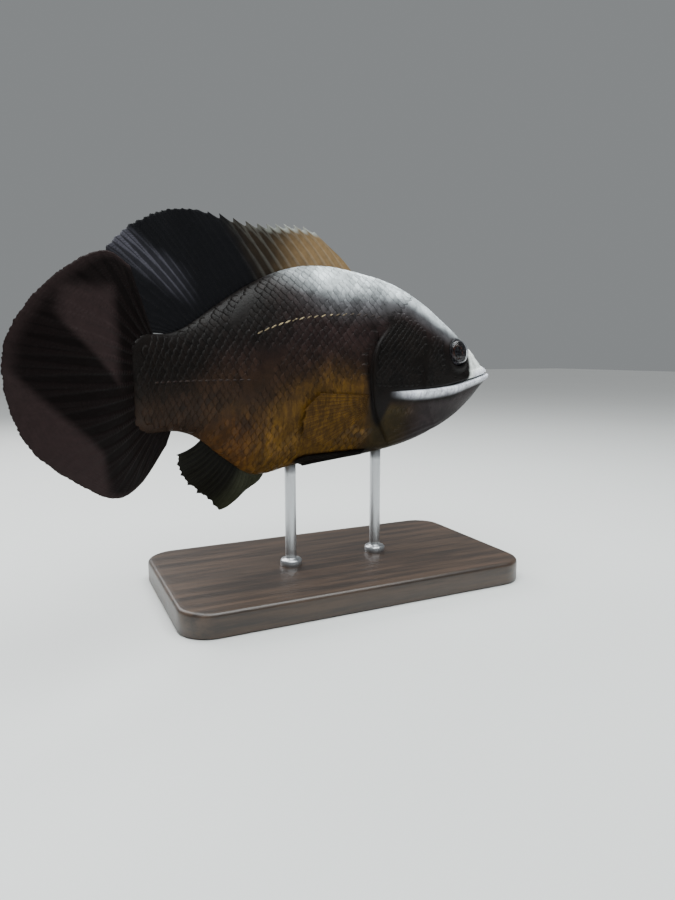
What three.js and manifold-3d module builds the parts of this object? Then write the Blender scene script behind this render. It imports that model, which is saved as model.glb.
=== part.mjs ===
// An oscar cichlid, life size and swimming, on a plain display stand.
//
// The fish is described straight first, in body lengths: s runs back from the snout (0) to the root
// of the tail fin (1), side is to the fish's left, and up is height above the body's axis. bend()
// then lays the axis along a curve in plan, with the head along +X and the tail swept to the fish's
// right. Millimetres, +Z up. The origin is the middle of the stand's underside.

import * as THREE from "three";
import { mergeVertices } from "three/addons/utils/BufferGeometryUtils.js";
import Module from "manifold-3d";

const wasm = await Module();
wasm.setup();

// Driving dimensions
const BODY_LENGTH = 220; // snout to the root of the tail fin
const AXIS_HEIGHT = 112; // body axis above the floor
const GAP = 0.3; // between parts that touch
const BALANCE = 0.46; // the body length that stands over the middle of the stand
const PITCH_DEG = 0; // nose up
const HEAD_END = 0.37; // where the head meets the trunk
const TRUNK_END = 0.82; // where the trunk meets the tail

// Heading of the axis in plan, in degrees towards the fish's left, by body length
const HEADING = curve([
  [0, 8], [0.15, 7], [0.32, 0], [0.45, 2], [0.6, 11], [0.75, 26], [0.9, 43],
  [1, 52], [1.09, 54], [1.16, 34], [1.23, 0], [1.31, -20],
]);

// Outlines of the body, in body lengths
const BACK = curve([
  [0, 0.016], [0.03, 0.042], [0.08, 0.084], [0.12, 0.118], [0.16, 0.145], [0.22, 0.186], [0.3, 0.2255],
  [0.38, 0.2465], [0.48, 0.2615], [0.58, 0.25], [0.68, 0.212], [0.78, 0.158], [0.88, 0.108], [0.94, 0.094],
  [1, 0.092],
]);
const BELLY = curve([
  [0, -0.036], [0.03, -0.07], [0.08, -0.104], [0.15, -0.132], [0.22, -0.156], [0.3, -0.178],
  [0.4, -0.195], [0.5, -0.2], [0.59, -0.209], [0.65, -0.219], [0.7, -0.213], [0.77, -0.169], [0.84, -0.121],
  [0.91, -0.096], [1, -0.09],
]);
const WIDTH = curve([
  [0, 0.03], [0.03, 0.045], [0.08, 0.06], [0.15, 0.077], [0.25, 0.093], [0.35, 0.1],
  [0.45, 0.098], [0.57, 0.086], [0.68, 0.068], [0.8, 0.045], [0.9, 0.027], [1, 0.014],
]);
// Height of the widest line, and how full the sections are: 1 is an ellipse, less is boxier
const WAIST = curve([[0, -0.004], [0.15, -0.022], [0.35, -0.03], [0.6, -0.012], [1, 0]]);
const FULLNESS = curve([[0, 0.8], [0.2, 0.86], [0.5, 0.95], [0.8, 1.05], [1, 1]]);

// A smooth curve through [place, value] pairs
function curve(points) {
  const slope = points.map((p, i) => {
    const a = points[Math.max(i - 1, 0)];
    const b = points[Math.min(i + 1, points.length - 1)];
    return (b[1] - a[1]) / (b[0] - a[0]);
  });
  return (s) => {
    const first = points[0];
    const last = points[points.length - 1];
    if (s <= first[0]) return first[1];
    if (s >= last[0]) return last[1];
    const i = points.findIndex((p) => p[0] > s) - 1;
    const [[s0, v0], [s1, v1]] = [points[i], points[i + 1]];
    const h = s1 - s0;
    const t = (s - s0) / h;
    return (
      v0 * (1 + 2 * t) * (1 - t) ** 2 + v1 * t * t * (3 - 2 * t) +
      h * (slope[i] * t * (1 - t) ** 2 - slope[i + 1] * t * t * (1 - t))
    );
  };
}

const radians = THREE.MathUtils.degToRad;
const mix = THREE.MathUtils.lerp;

// The bent axis, stepped back from the snout
const AXIS_STEP = 0.005;
const AXIS_REACH = 1.6;
const axis = [{ x: 0, y: 0 }];
for (let s = 0; s < AXIS_REACH; s += AXIS_STEP) {
  const turn = radians(HEADING(s + AXIS_STEP / 2));
  const { x, y } = axis[axis.length - 1];
  axis.push({ x: x - Math.cos(turn) * AXIS_STEP, y: y - Math.sin(turn) * AXIS_STEP });
}

function axisAt(s) {
  const place = THREE.MathUtils.clamp(s / AXIS_STEP, 0, axis.length - 2);
  const i = Math.floor(place);
  const t = s < 0 ? s / AXIS_STEP : place - i;
  return { x: mix(axis[i].x, axis[i + 1].x, t), y: mix(axis[i].y, axis[i + 1].y, t) };
}

const balance = axisAt(BALANCE);

// A point of the straight fish, in body lengths, put where it is on the stand, in millimetres
function bend(s, side, up) {
  const at = axisAt(s);
  const turn = radians(HEADING(s));
  const point = new THREE.Vector3(
    at.x - balance.x - side * Math.sin(turn), at.y - balance.y + side * Math.cos(turn), up,
  );
  point.applyAxisAngle(new THREE.Vector3(0, 1, 0), -radians(PITCH_DEG));
  return point.multiplyScalar(BODY_LENGTH).add(new THREE.Vector3(0, 0, AXIS_HEIGHT));
}

// Half the body's width at a height, with the skin grown outwards by some millimetres
function sideAt(s, up, grow = 0) {
  const g = grow / BODY_LENGTH;
  const waist = WAIST(s);
  const reach = up > waist ? BACK(s) + g - waist : waist - BELLY(s) + g;
  const rise = Math.min(Math.abs(up - waist) / reach, 1);
  const angle = Math.acos(rise ** (1 / FULLNESS(s)));
  return (WIDTH(s) + g) * Math.sin(angle) ** FULLNESS(s);
}

// A point on the skin: angle 0 is the back, a quarter turn is the left side
function skin(s, angle, grow = 0) {
  const g = grow / BODY_LENGTH;
  const [c, d] = [Math.cos(angle), Math.sin(angle)];
  const full = FULLNESS(s);
  const reach = c > 0 ? BACK(s) + g - WAIST(s) : WAIST(s) - BELLY(s) + g;
  return {
    side: (WIDTH(s) + g) * Math.sign(d) * Math.abs(d) ** full,
    up: WAIST(s) + reach * Math.sign(c) * Math.abs(c) ** full,
  };
}

// Solids from rows of points

// Triangles to a closed solid that faces outwards
function solid(points, triangles) {
  const geometry = new THREE.BufferGeometry();
  const flat = points.flatMap((p) => [p.x, p.y, p.z]);
  geometry.setAttribute("position", new THREE.Float32BufferAttribute(flat, 3));
  geometry.setIndex(triangles.flat());
  return solidOf(geometry);
}

function solidOf(geometry) {
  geometry.deleteAttribute("normal");
  geometry.deleteAttribute("uv");
  const merged = mergeVertices(geometry, 1e-4);
  const build = (turned) => {
    const triVerts = new Uint32Array(merged.index.array);
    for (let i = 0; turned && i < triVerts.length; i += 3) {
      [triVerts[i + 1], triVerts[i + 2]] = [triVerts[i + 2], triVerts[i + 1]];
    }
    const vertProperties = merged.attributes.position.array;
    return new wasm.Manifold(new wasm.Mesh({ numProp: 3, vertProperties, triVerts }));
  };
  const made = build(false);
  return made.volume() < 0 ? build(true) : made;
}

// A tube through closed rings of points, its ends closed by fans
function loft(rings) {
  const n = rings[0].length;
  const points = rings.flat();
  const triangles = [];
  for (let r = 0; r + 1 < rings.length; r++) {
    for (let i = 0; i < n; i++) {
      const [a, b] = [r * n + i, r * n + ((i + 1) % n)];
      triangles.push([a, b, b + n], [a, b + n, a + n]);
    }
  }
  for (const [r, flip] of [[0, true], [rings.length - 1, false]]) {
    const middle = new THREE.Vector3();
    rings[r].forEach((p) => middle.addScaledVector(p, 1 / n));
    points.push(middle);
    for (let i = 0; i < n; i++) {
      const [a, b] = [r * n + i, r * n + ((i + 1) % n)];
      triangles.push(flip ? [b, a, points.length - 1] : [a, b, points.length - 1]);
    }
  }
  return solid(points, triangles);
}

// A thin solid between two grids of points with the same rows and columns
function leaf(front, back) {
  const [rows, columns] = [front.length, front[0].length];
  const size = rows * columns;
  const at = (r, c) => r * columns + c;
  const triangles = [];
  for (let r = 0; r + 1 < rows; r++) {
    for (let c = 0; c + 1 < columns; c++) {
      const [p, q, u, v] = [at(r, c), at(r, c + 1), at(r + 1, c + 1), at(r + 1, c)];
      triangles.push([p, q, u], [p, u, v]);
      triangles.push([size + p, size + u, size + q], [size + p, size + v, size + u]);
    }
  }
  const rim = [];
  for (let c = 0; c < columns; c++) rim.push(at(0, c));
  for (let r = 1; r < rows; r++) rim.push(at(r, columns - 1));
  for (let c = columns - 2; c >= 0; c--) rim.push(at(rows - 1, c));
  for (let r = rows - 2; r > 0; r--) rim.push(at(r, 0));
  rim.forEach((p, i) => {
    const q = rim[(i + 1) % rim.length];
    triangles.push([p, size + p, size + q], [p, size + q, q]);
  });
  return solid([...front.flat(), ...back.flat()], triangles);
}

// The largest closed piece of a solid
function largest(made) {
  return made.decompose().reduce((best, s) => (s.volume() > best.volume() ? s : best));
}

// The body, as rings of skin
const SIDES = 28;
const STATIONS = [
  0, 0.012, 0.03, 0.055, 0.085, 0.12, 0.16, 0.2, 0.25, 0.31, HEAD_END, 0.44, 0.51, 0.58,
  0.65, 0.71, 0.77, TRUNK_END, 0.87, 0.92, 0.96, 1,
];

function bodyRing(s, grow) {
  return Array.from({ length: SIDES }, (_, i) => {
    const { side, up } = skin(s, (2 * Math.PI * i) / SIDES, grow);
    return bend(s, side, up);
  });
}

function bodyBetween(from, to, grow = 0) {
  const inside = STATIONS.filter((s) => s > from && s < to);
  return loft([from, ...inside, to].map((s) => bodyRing(s, grow)));
}

const halfGap = GAP / 2 / BODY_LENGTH;
const clearance = bodyBetween(0, 1 + GAP / BODY_LENGTH, GAP);

// A round tube through points, with a radius at each
function tube(points, radii, sides = 10) {
  const rings = points.map((p, i) => {
    const before = points[Math.max(i - 1, 0)];
    const after = points[Math.min(i + 1, points.length - 1)];
    const along = after.clone().sub(before).normalize();
    const across = new THREE.Vector3(0, 0, 1).cross(along).normalize();
    const over = along.clone().cross(across);
    return Array.from({ length: sides }, (_, k) => {
      const a = (2 * Math.PI * k) / sides;
      return p.clone()
        .addScaledVector(across, radii[i] * Math.cos(a))
        .addScaledVector(over, radii[i] * Math.sin(a));
    });
  });
  return loft(rings);
}

// Head, jaw and eyes

const MOUTH_CORNER = 0.17;
const MOUTH_LINE = curve([
  [-0.03, 0.008], [0, 0.004], [0.05, -0.004], [0.1, -0.013], [MOUTH_CORNER, -0.024],
]);
const LIPS = { upper: 2.5, lower: 3.3 }; // radii at the front of the mouth
// Height of the cheek's ridge, behind the lower lip
const RIDGE_LINE = curve([[0.14, -0.036], [0.22, -0.042], [0.3, -0.045]]);
const EYE = { s: 0.14, up: 0.058, radius: 9, out: -5.4 }; // out is the centre's place off the skin
const EYE_RIM = { radius: 0.037, inset: 0.003, thick: 1.5 }; // radius and inset in body lengths
const NOSTRIL = { s: 0.06, up: 0.057, radius: 1.3 };

// A prism across the fish over a side view outline given in body lengths
function prism(outline) {
  const HALF = 0.2;
  return loft([-HALF, HALF].map((side) => outline.map(([s, up]) => bend(s, side, up))));
}

// Everything below the line of the mouth, ahead of the hinge of the jaw
function jawSpace(grow) {
  const g = grow / BODY_LENGTH;
  const line = [-0.03, 0, 0.04, 0.08, 0.12].map((s) => [s, MOUTH_LINE(s) + g]);
  const corner = [MOUTH_CORNER + g, MOUTH_LINE(MOUTH_CORNER) + g];
  const hinge = [MOUTH_CORNER + 0.015 + g, -0.065];
  const throat = [MOUTH_CORNER + 0.035 + g, -0.2];
  return prism([...line, corner, hinge, throat, [-0.03, -0.2]]);
}

// A lip along the mouth, from corner to corner round the snout
function lip(offset, reach, radius, taper) {
  const steps = 7;
  const half = [];
  for (let i = 0; i <= steps; i++) {
    const s = reach * Math.sin((i / steps) * Math.PI / 2) ** 1.6;
    half.push({ s: s - 0.004, side: sideAt(Math.max(s, 0.002), MOUTH_LINE(s)) - 0.004 });
  }
  const path = [...half.map((p) => ({ ...p, side: -p.side })).reverse(), ...half];
  const points = path.map(({ s, side }) => bend(s, side, MOUTH_LINE(s) + offset / BODY_LENGTH));
  const radii = path.map(({ s }) => radius * mix(1, taper, Math.max(s, 0) / reach));
  return tube(points, radii);
}

// The ridge that carries the line of the lips on along the cheek
function cheekRidge(hand) {
  const path = [[0.14, 1.8], [0.18, 3], [0.22, 3], [0.25, 2.8], [0.272, 2.3], [0.284, 1.2]];
  const points = path.map(([s, radius]) => {
    const up = RIDGE_LINE(s);
    return bend(s, hand * (sideAt(s, up) + (0.35 * radius - 1.9) / BODY_LENGTH), up);
  });
  return tube(points, path.map(([, radius]) => radius));
}

function eyeBall(hand, grow = 0) {
  const side = hand * (sideAt(EYE.s, EYE.up) + EYE.out / BODY_LENGTH);
  const ball = new THREE.SphereGeometry(EYE.radius + grow, 20, 12);
  const at = bend(EYE.s, side, EYE.up);
  return solidOf(ball.translate(at.x, at.y, at.z));
}

// The ring of skin round an eye
function eyeRim(hand) {
  const [steps, around] = [20, 6];
  const points = [];
  for (let i = 0; i < steps; i++) {
    const a = (2 * Math.PI * i) / steps;
    const [s, up] = [EYE.s + EYE_RIM.radius * Math.cos(a), EYE.up + EYE_RIM.radius * Math.sin(a)];
    points.push(bend(s, hand * (sideAt(s, up) - EYE_RIM.inset), up));
  }
  const middle = points.reduce((sum, p) => sum.add(p), new THREE.Vector3()).divideScalar(steps);
  const out = bend(EYE.s, hand, EYE.up).sub(bend(EYE.s, 0, EYE.up)).normalize();
  const ring = (k) => points.map((p) => {
    const a = (2 * Math.PI * k) / around;
    const away = p.clone().sub(middle).normalize();
    return p.clone()
      .addScaledVector(away, EYE_RIM.thick * Math.cos(a))
      .addScaledVector(out, EYE_RIM.thick * Math.sin(a));
  });
  const all = Array.from({ length: around }, (_, k) => ring(k)).flat();
  const triangles = [];
  for (let k = 0; k < around; k++) {
    const [row, next] = [k * steps, ((k + 1) % around) * steps];
    for (let i = 0; i < steps; i++) {
      const j = (i + 1) % steps;
      const [a, b, c, d] = [row + i, row + j, next + j, next + i];
      triangles.push([a, b, c], [a, c, d]);
    }
  }
  return solid(all, triangles);
}

function nostril(hand) {
  const at = bend(NOSTRIL.s, hand * sideAt(NOSTRIL.s, NOSTRIL.up), NOSTRIL.up);
  return solidOf(new THREE.SphereGeometry(NOSTRIL.radius, 10, 8).translate(at.x, at.y, at.z));
}

function headSolids() {
  const whole = bodyBetween(0, HEAD_END - halfGap);
  const upperLip = lip(LIPS.upper * 0.8, 0.13, LIPS.upper, 0.5);
  const lowerLip = lip(-LIPS.lower * 0.85, MOUTH_CORNER, LIPS.lower, 0.85);
  let head = whole.add(upperLip);
  for (const hand of [1, -1]) {
    head = head.add(eyeRim(hand)).add(cheekRidge(hand));
    head = head.subtract(eyeBall(hand, GAP)).subtract(nostril(hand));
  }
  head = head.subtract(jawSpace(GAP));
  const jaw = whole.add(lowerLip).intersect(jawSpace(0));
  return { head: largest(head), jaw: largest(jaw) };
}

// A gill cover: a plate that lies on the side of the head and stands proud behind
const COVER = { s: 0.34, up: -0.028, ahead: 0.048, behind: 0.05, above: 0.118, below: 0.108 };

function gillCover(hand) {
  const [rows, columns] = [4, 20];
  const lay = (lift) => Array.from({ length: rows + 1 }, (_, r) =>
    Array.from({ length: columns }, (_, c) => {
      const a = (2 * Math.PI * c) / columns;
      const [x, z] = [Math.cos(a), Math.sin(a)];
      const s = COVER.s + (r / rows) * x * (x > 0 ? COVER.behind : COVER.ahead);
      const up = COVER.up + (r / rows) * z * (z > 0 ? COVER.above : COVER.below);
      return bend(s, hand * (sideAt(s, up) + lift(r / rows, x) / BODY_LENGTH), up);
    }));
  const outer = lay((r, x) => 0.9 + 1.1 * Math.max(x, 0) * r + 0.5 * (1 - r));
  const inner = lay(() => -1.5);
  const points = [...outer.flat(), ...inner.flat()];
  const size = (rows + 1) * columns;
  const triangles = [];
  for (let r = 0; r < rows; r++) {
    for (let c = 0; c < columns; c++) {
      const d = (c + 1) % columns;
      const [row, next] = [r * columns, (r + 1) * columns];
      const [p, q, u, v] = [row + c, row + d, next + d, next + c];
      triangles.push([p, u, q], [p, v, u]);
      triangles.push([size + p, size + q, size + u], [size + p, size + u, size + v]);
    }
  }
  for (let c = 0; c < columns; c++) {
    const [p, q] = [rows * columns + c, rows * columns + ((c + 1) % columns)];
    triangles.push([p, size + q, q], [p, size + p, size + q]);
  }
  // the first row is one point
  const weld = (i) => (i % size < columns ? Math.floor(i / size) * size : i);
  const welded = triangles.map((t) => t.map(weld)).filter((t) => new Set(t).size === 3);
  return cutFromBody(solid(points, welded));
}

// Fins. Each has rays along its columns, raised as ridges on the membrane between them.

// place(u, v) is the middle of the fin in the straight fish, u along the root and v out along a ray
function fin({ rays, rows, place, thick, across = [0, 1, 0], notch = 0.04, membrane = 0.62 }) {
  const columns = 2 * rays - 1;
  const face = (hand) => Array.from({ length: rows + 1 }, (_, r) =>
    Array.from({ length: columns }, (_, c) => {
      const onRay = c % 2 === 0;
      const v = (r / rows) * (onRay ? 1 : 1 - notch);
      const { s, side, up } = place(c / (columns - 1), v);
      const half = ((onRay ? thick(v) : membrane) / 2) * hand / BODY_LENGTH;
      return bend(s + half * across[0], side + half * across[1], up + half * across[2]);
    }));
  return leaf(face(1), face(-1));
}

function cutFromBody(made) {
  return largest(made.subtract(clearance));
}

// A fin on the back or belly: its rays by place along the root, length and lean from upright
function medianFin({ from, to, edge, sign, lengths, leans, sway, rays, rows, thick, notch }) {
  const ROOT = 0.012;
  const place = (u, v) => {
    const root = mix(from, to, u);
    const length = lengths(u) + ROOT;
    const along = v * length - ROOT;
    const curl = leans(u) + 10 * v;
    return {
      s: root + along * Math.sin(radians(curl)),
      side: sway(u) * length * v * v,
      up: edge(root) + sign * along * Math.cos(radians(curl)),
    };
  };
  return cutFromBody(fin({ rays, rows, place, thick, notch }));
}

const thinning = (root, tip) => (v) => mix(root, tip, v);

// One dorsal fin in two lengths: stiff spines ahead, soft rays behind
function dorsalSpines() {
  return medianFin({
    from: 0.41, to: 0.7, edge: BACK, sign: 1, rays: 12, rows: 4, notch: 0.12, sway: () => 0,
    lengths: curve([
      [0, 0.052], [0.08, 0.1], [0.17, 0.118], [0.5, 0.124], [0.7, 0.142], [0.83, 0.172], [1, 0.194],
    ]),
    leans: curve([[0, 34], [0.5, 35], [1, 36]]),
    thick: thinning(2.2, 0.7),
  });
}

function dorsalSoft() {
  return medianFin({
    from: 0.705, to: 0.915, edge: BACK, sign: 1, rays: 17, rows: 8, notch: 0.02, sway: (u) => 0.14 * u,
    lengths: curve([[0, 0.2], [0.15, 0.23], [0.4, 0.255], [0.62, 0.252], [0.8, 0.228], [1, 0.15]]),
    leans: curve([[0, 36], [0.5, 41], [1, 54]]),
    thick: thinning(1.9, 0.7),
  });
}

function analFin() {
  return medianFin({
    from: 0.655, to: 0.835, edge: BELLY, sign: -1, rays: 16, rows: 7, notch: 0.04,
    sway: (u) => 0.3 + 0.4 * u,
    lengths: curve([
      [0, 0.018], [0.12, 0.038], [0.22, 0.066], [0.32, 0.097], [0.42, 0.084], [0.61, 0.081], [0.8, 0.069],
      [1, 0.042],
    ]),
    leans: curve([[0, 8], [0.32, 6], [0.42, 17], [0.61, 26], [0.8, 37], [1, 38]]),
    thick: thinning(1.9, 0.7),
  });
}

// Roots and tips of the tail's rays, from the lowest (0) to the highest (1)
const TAIL_ROOT = {
  s: curve([[0, 0.935], [0.1, 0.962], [0.22, 0.985], [1, 0.985]]),
  up: curve([[0, -0.084], [0.22, -0.074], [0.6, 0.016], [1, 0.084]]),
};
const TAIL_TIP = {
  s: curve([
    [0, 0.95], [0.05, 1], [0.1, 1.055], [0.18, 1.135], [0.28, 1.202], [0.4, 1.268], [0.52, 1.3],
    [0.64, 1.302], [0.75, 1.27], [0.85, 1.212], [0.93, 1.14], [1, 1.062],
  ]),
  up: curve([
    [0, -0.119], [0.05, -0.149], [0.1, -0.173], [0.18, -0.185], [0.28, -0.152], [0.4, -0.094],
    [0.52, -0.022], [0.64, 0.056], [0.75, 0.124], [0.85, 0.183], [0.93, 0.219], [1, 0.205],
  ]),
};

function caudalFin() {
  const place = (u, v) => ({
    s: mix(TAIL_ROOT.s(u), TAIL_TIP.s(u), v),
    side: 0,
    up: mix(TAIL_ROOT.up(u), TAIL_TIP.up(u), v),
  });
  return cutFromBody(fin({ rays: 19, rows: 8, place, thick: thinning(2.2, 0.7), notch: 0.012 }));
}

// The pectoral fins lie back along the flank, the pelvic fins back under the belly
function pectoralFin(hand) {
  const SINK = 0.01;
  const lift = curve([[0, -0.014], [0.14, 0.005], [0.3, 0.012], [0.6, 0.02], [1, 0.034]]);
  const place = (u, v) => {
    const spread = 2 * u - 1;
    const tilt = radians(14 + 17 * spread);
    const length = 0.2 * (0.72 + 0.28 * Math.sin(Math.PI * u));
    const along = v * (length + SINK) - SINK;
    const [s, up] = [0.41 + along * Math.cos(tilt), -0.06 - 0.02 * spread - along * Math.sin(tilt)];
    return { s, side: hand * (sideAt(s, up) + lift(v)), up };
  };
  return cutFromBody(fin({ rays: 12, rows: 7, place, thick: thinning(1.6, 0.6), notch: 0.03 }));
}

function pelvicFin(hand) {
  const SINK = 0.03;
  const place = (u, v) => {
    const tilt = radians(mix(8, 13, u));
    const along = v * (mix(0.14, 0.21, u) + SINK) - SINK;
    return {
      s: mix(0.42, 0.4, u) + along * Math.cos(tilt),
      side: hand * (0.026 + 0.08 * along),
      up: mix(-0.188, -0.185, u) - along * Math.sin(tilt),
    };
  };
  return cutFromBody(fin({ rays: 6, rows: 6, place, thick: thinning(1.8, 0.6), notch: 0.03 }));
}

// The stand: a flat base and two rods up to the belly
const BASE = { length: 190, width: 104, height: 12, corner: 16 };
const ROD = { radius: 3, stations: [0.34, 0.58] };

function standBase() {
  const [x, y] = [BASE.length / 2 - BASE.corner, BASE.width / 2 - BASE.corner];
  const outline = new THREE.Shape();
  outline.absarc(x, y, BASE.corner, 0, Math.PI / 2);
  outline.absarc(-x, y, BASE.corner, Math.PI / 2, Math.PI);
  outline.absarc(-x, -y, BASE.corner, Math.PI, Math.PI * 1.5);
  outline.absarc(x, -y, BASE.corner, Math.PI * 1.5, Math.PI * 2);
  const BEVEL = 2;
  const slab = new THREE.ExtrudeGeometry(outline, {
    depth: BASE.height - 2 * BEVEL,
    bevelSize: BEVEL,
    bevelOffset: -BEVEL,
    bevelThickness: BEVEL,
    bevelSegments: 2,
    curveSegments: 6,
  });
  return solidOf(slab.translate(0, 0, BEVEL));
}

function standRod(s) {
  const foot = bend(s, 0, 0);
  const height = AXIS_HEIGHT - BASE.height - GAP;
  const rod = new THREE.CylinderGeometry(ROD.radius, ROD.radius, height, 20);
  rod.rotateX(Math.PI / 2).translate(foot.x, foot.y, BASE.height + GAP + height / 2);
  const cut = solidOf(rod).subtract(clearance).decompose();
  return cut.reduce((low, piece) => (piece.boundingBox().min[2] < low.boundingBox().min[2] ? piece : low));
}

// Assembly

const LOOKS = {
  flesh: new THREE.MeshStandardMaterial({ color: 0x3b3029, roughness: 0.45 }),
  lips: new THREE.MeshStandardMaterial({ color: 0x8f8a94, roughness: 0.4 }),
  fins: new THREE.MeshStandardMaterial({ color: 0x2a2027, roughness: 0.5 }),
  eyes: new THREE.MeshStandardMaterial({ color: 0x0d0c10, roughness: 0.1 }),
  base: new THREE.MeshStandardMaterial({ color: 0x2c2a28, roughness: 0.5 }),
  rods: new THREE.MeshStandardMaterial({ color: 0xb8bcc0, roughness: 0.3, metalness: 1 }),
};

const fish = new THREE.Group();

function add(name, made, material) {
  const { vertProperties, triVerts } = made.getMesh();
  const geometry = new THREE.BufferGeometry();
  geometry.setAttribute("position", new THREE.BufferAttribute(new Float32Array(vertProperties), 3));
  geometry.setIndex(new THREE.BufferAttribute(new Uint32Array(triVerts), 1));
  geometry.computeVertexNormals();
  const mesh = new THREE.Mesh(geometry, material);
  mesh.name = name;
  fish.add(mesh);
}

const { head, jaw } = headSolids();
add("head", head, LOOKS.flesh);
add("lower_jaw", jaw, LOOKS.lips);
add("trunk", bodyBetween(HEAD_END + halfGap, TRUNK_END - halfGap), LOOKS.flesh);
add("tail", bodyBetween(TRUNK_END + halfGap, 1), LOOKS.flesh);
add("dorsal_fin_spines", dorsalSpines(), LOOKS.fins);
add("dorsal_fin_soft", dorsalSoft(), LOOKS.fins);
add("anal_fin", analFin(), LOOKS.fins);
add("caudal_fin", caudalFin(), LOOKS.fins);
for (const [word, hand] of [["left", 1], ["right", -1]]) {
  add(`eye_${word}`, eyeBall(hand), LOOKS.eyes);
  add(`gill_cover_${word}`, gillCover(hand), LOOKS.flesh);
  add(`pectoral_fin_${word}`, pectoralFin(hand), LOOKS.fins);
  add(`pelvic_fin_${word}`, pelvicFin(hand), LOOKS.fins);
}
add("stand_base", standBase(), LOOKS.base);
ROD.stations.forEach((s, i) => add(`stand_rod_${["front", "rear"][i]}`, standRod(s), LOOKS.rods));

export default fish;
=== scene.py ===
"""The looks of a life-size oscar fish on a display stand.

The fish is described straight, in body lengths: s runs back from the snout (0) to the root of the tail
fin (1), side is to the fish's left and up is height above the body's axis. bend() lays it along its
curve, in metres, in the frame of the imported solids.
"""

import math

import bpy
import numpy as np
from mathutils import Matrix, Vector


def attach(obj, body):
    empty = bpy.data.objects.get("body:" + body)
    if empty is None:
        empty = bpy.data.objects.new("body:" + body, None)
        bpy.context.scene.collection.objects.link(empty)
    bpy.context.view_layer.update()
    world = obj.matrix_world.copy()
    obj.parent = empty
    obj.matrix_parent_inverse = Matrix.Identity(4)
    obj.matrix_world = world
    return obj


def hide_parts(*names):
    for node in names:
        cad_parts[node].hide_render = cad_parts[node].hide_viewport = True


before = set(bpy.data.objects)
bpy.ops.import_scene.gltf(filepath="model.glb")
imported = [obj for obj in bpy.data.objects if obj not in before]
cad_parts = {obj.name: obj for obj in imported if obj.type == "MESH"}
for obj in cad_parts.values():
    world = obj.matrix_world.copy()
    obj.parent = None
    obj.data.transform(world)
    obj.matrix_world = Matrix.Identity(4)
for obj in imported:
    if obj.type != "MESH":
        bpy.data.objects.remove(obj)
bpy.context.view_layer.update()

# Driving dimensions
BODY_LENGTH = 0.22
AXIS_HEIGHT = 0.112
BALANCE = 0.46  # the s that stands over the middle of the stand
MM = 0.001 / BODY_LENGTH  # a millimetre in body lengths
TAU = 2 * math.pi
SIDES = ((1, "left"), (-1, "right"))


def curve(*points):
    """A smooth function through (place, value) points, level beyond its ends."""
    x, y = np.array(points, float).T
    slope = np.empty_like(y)
    slope[1:-1] = (y[2:] - y[:-2]) / (x[2:] - x[:-2])
    slope[0] = (y[1] - y[0]) / (x[1] - x[0])
    slope[-1] = (y[-1] - y[-2]) / (x[-1] - x[-2])

    def value(s):
        s = np.clip(s, x[0], x[-1])
        i = np.clip(np.searchsorted(x, s, side="right") - 1, 0, len(x) - 2)
        h = x[i + 1] - x[i]
        t = (s - x[i]) / h
        ends = y[i] * (1 + 2 * t) * (1 - t) ** 2 + y[i + 1] * t * t * (3 - 2 * t)
        return ends + h * (slope[i] * t * (1 - t) ** 2 - slope[i + 1] * t * t * (1 - t))

    return value


def smooth(low, high, x):
    """0 below low, 1 above high, and smooth between them; either way round."""
    t = np.clip((x - low) / (high - low), 0, 1)
    return t * t * (3 - 2 * t)


def dome(x):
    """A round hump over -1 to 1."""
    return np.sqrt(np.clip(1 - x * x, 0, 1))


def bell(x):
    return np.exp(-x * x)


# Heading of the body's axis in plan, in degrees towards the fish's left
HEADING = curve(
    (0, 8), (0.15, 7), (0.32, 0), (0.45, 2), (0.6, 11), (0.75, 26), (0.9, 43),
    (1, 52), (1.09, 54), (1.16, 34), (1.23, 0), (1.31, -20),
)
BACK = curve(
    (0, 0.016), (0.03, 0.042), (0.08, 0.084), (0.12, 0.118), (0.16, 0.145), (0.22, 0.186),
    (0.3, 0.2255), (0.38, 0.2465), (0.48, 0.2615), (0.58, 0.25), (0.68, 0.212), (0.78, 0.158),
    (0.88, 0.108), (0.94, 0.094), (1, 0.092),
)
BELLY = curve(
    (0, -0.024), (0.03, -0.042), (0.065, -0.072), (0.11, -0.104), (0.15, -0.125), (0.22, -0.154),
    (0.3, -0.178), (0.4, -0.195), (0.5, -0.2), (0.59, -0.209), (0.65, -0.219), (0.7, -0.213),
    (0.77, -0.169), (0.84, -0.121), (0.91, -0.096), (1, -0.09),
)
WIDTH = curve(
    (0, 0.03), (0.03, 0.045), (0.08, 0.06), (0.15, 0.077), (0.25, 0.093), (0.35, 0.1),
    (0.45, 0.098), (0.57, 0.086), (0.68, 0.068), (0.8, 0.045), (0.9, 0.027), (1, 0.014),
)
# Height of the widest line, and how full the sections are: 1 is an ellipse, less is boxier
WAIST = curve((0, -0.004), (0.15, -0.022), (0.35, -0.03), (0.6, -0.012), (1, 0))
FULLNESS = curve((0, 0.8), (0.2, 0.86), (0.5, 0.95), (0.8, 1.05), (1, 1))

AXIS_STEP = 0.005
AXIS_REACH = 1.6
axis_turns = np.radians(HEADING(np.arange(0, AXIS_REACH, AXIS_STEP) + AXIS_STEP / 2))
axis_x = np.concatenate([[0], -np.cumsum(np.cos(axis_turns)) * AXIS_STEP])
axis_y = np.concatenate([[0], -np.cumsum(np.sin(axis_turns)) * AXIS_STEP])
axis_s = np.arange(len(axis_x)) * AXIS_STEP


def axis_point(s):
    ahead = np.minimum(s, 0)
    x = np.interp(s, axis_s, axis_x) - ahead * math.cos(axis_turns[0])
    y = np.interp(s, axis_s, axis_y) - ahead * math.sin(axis_turns[0])
    return x, y


balance_x, balance_y = axis_point(np.float64(BALANCE))


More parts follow.
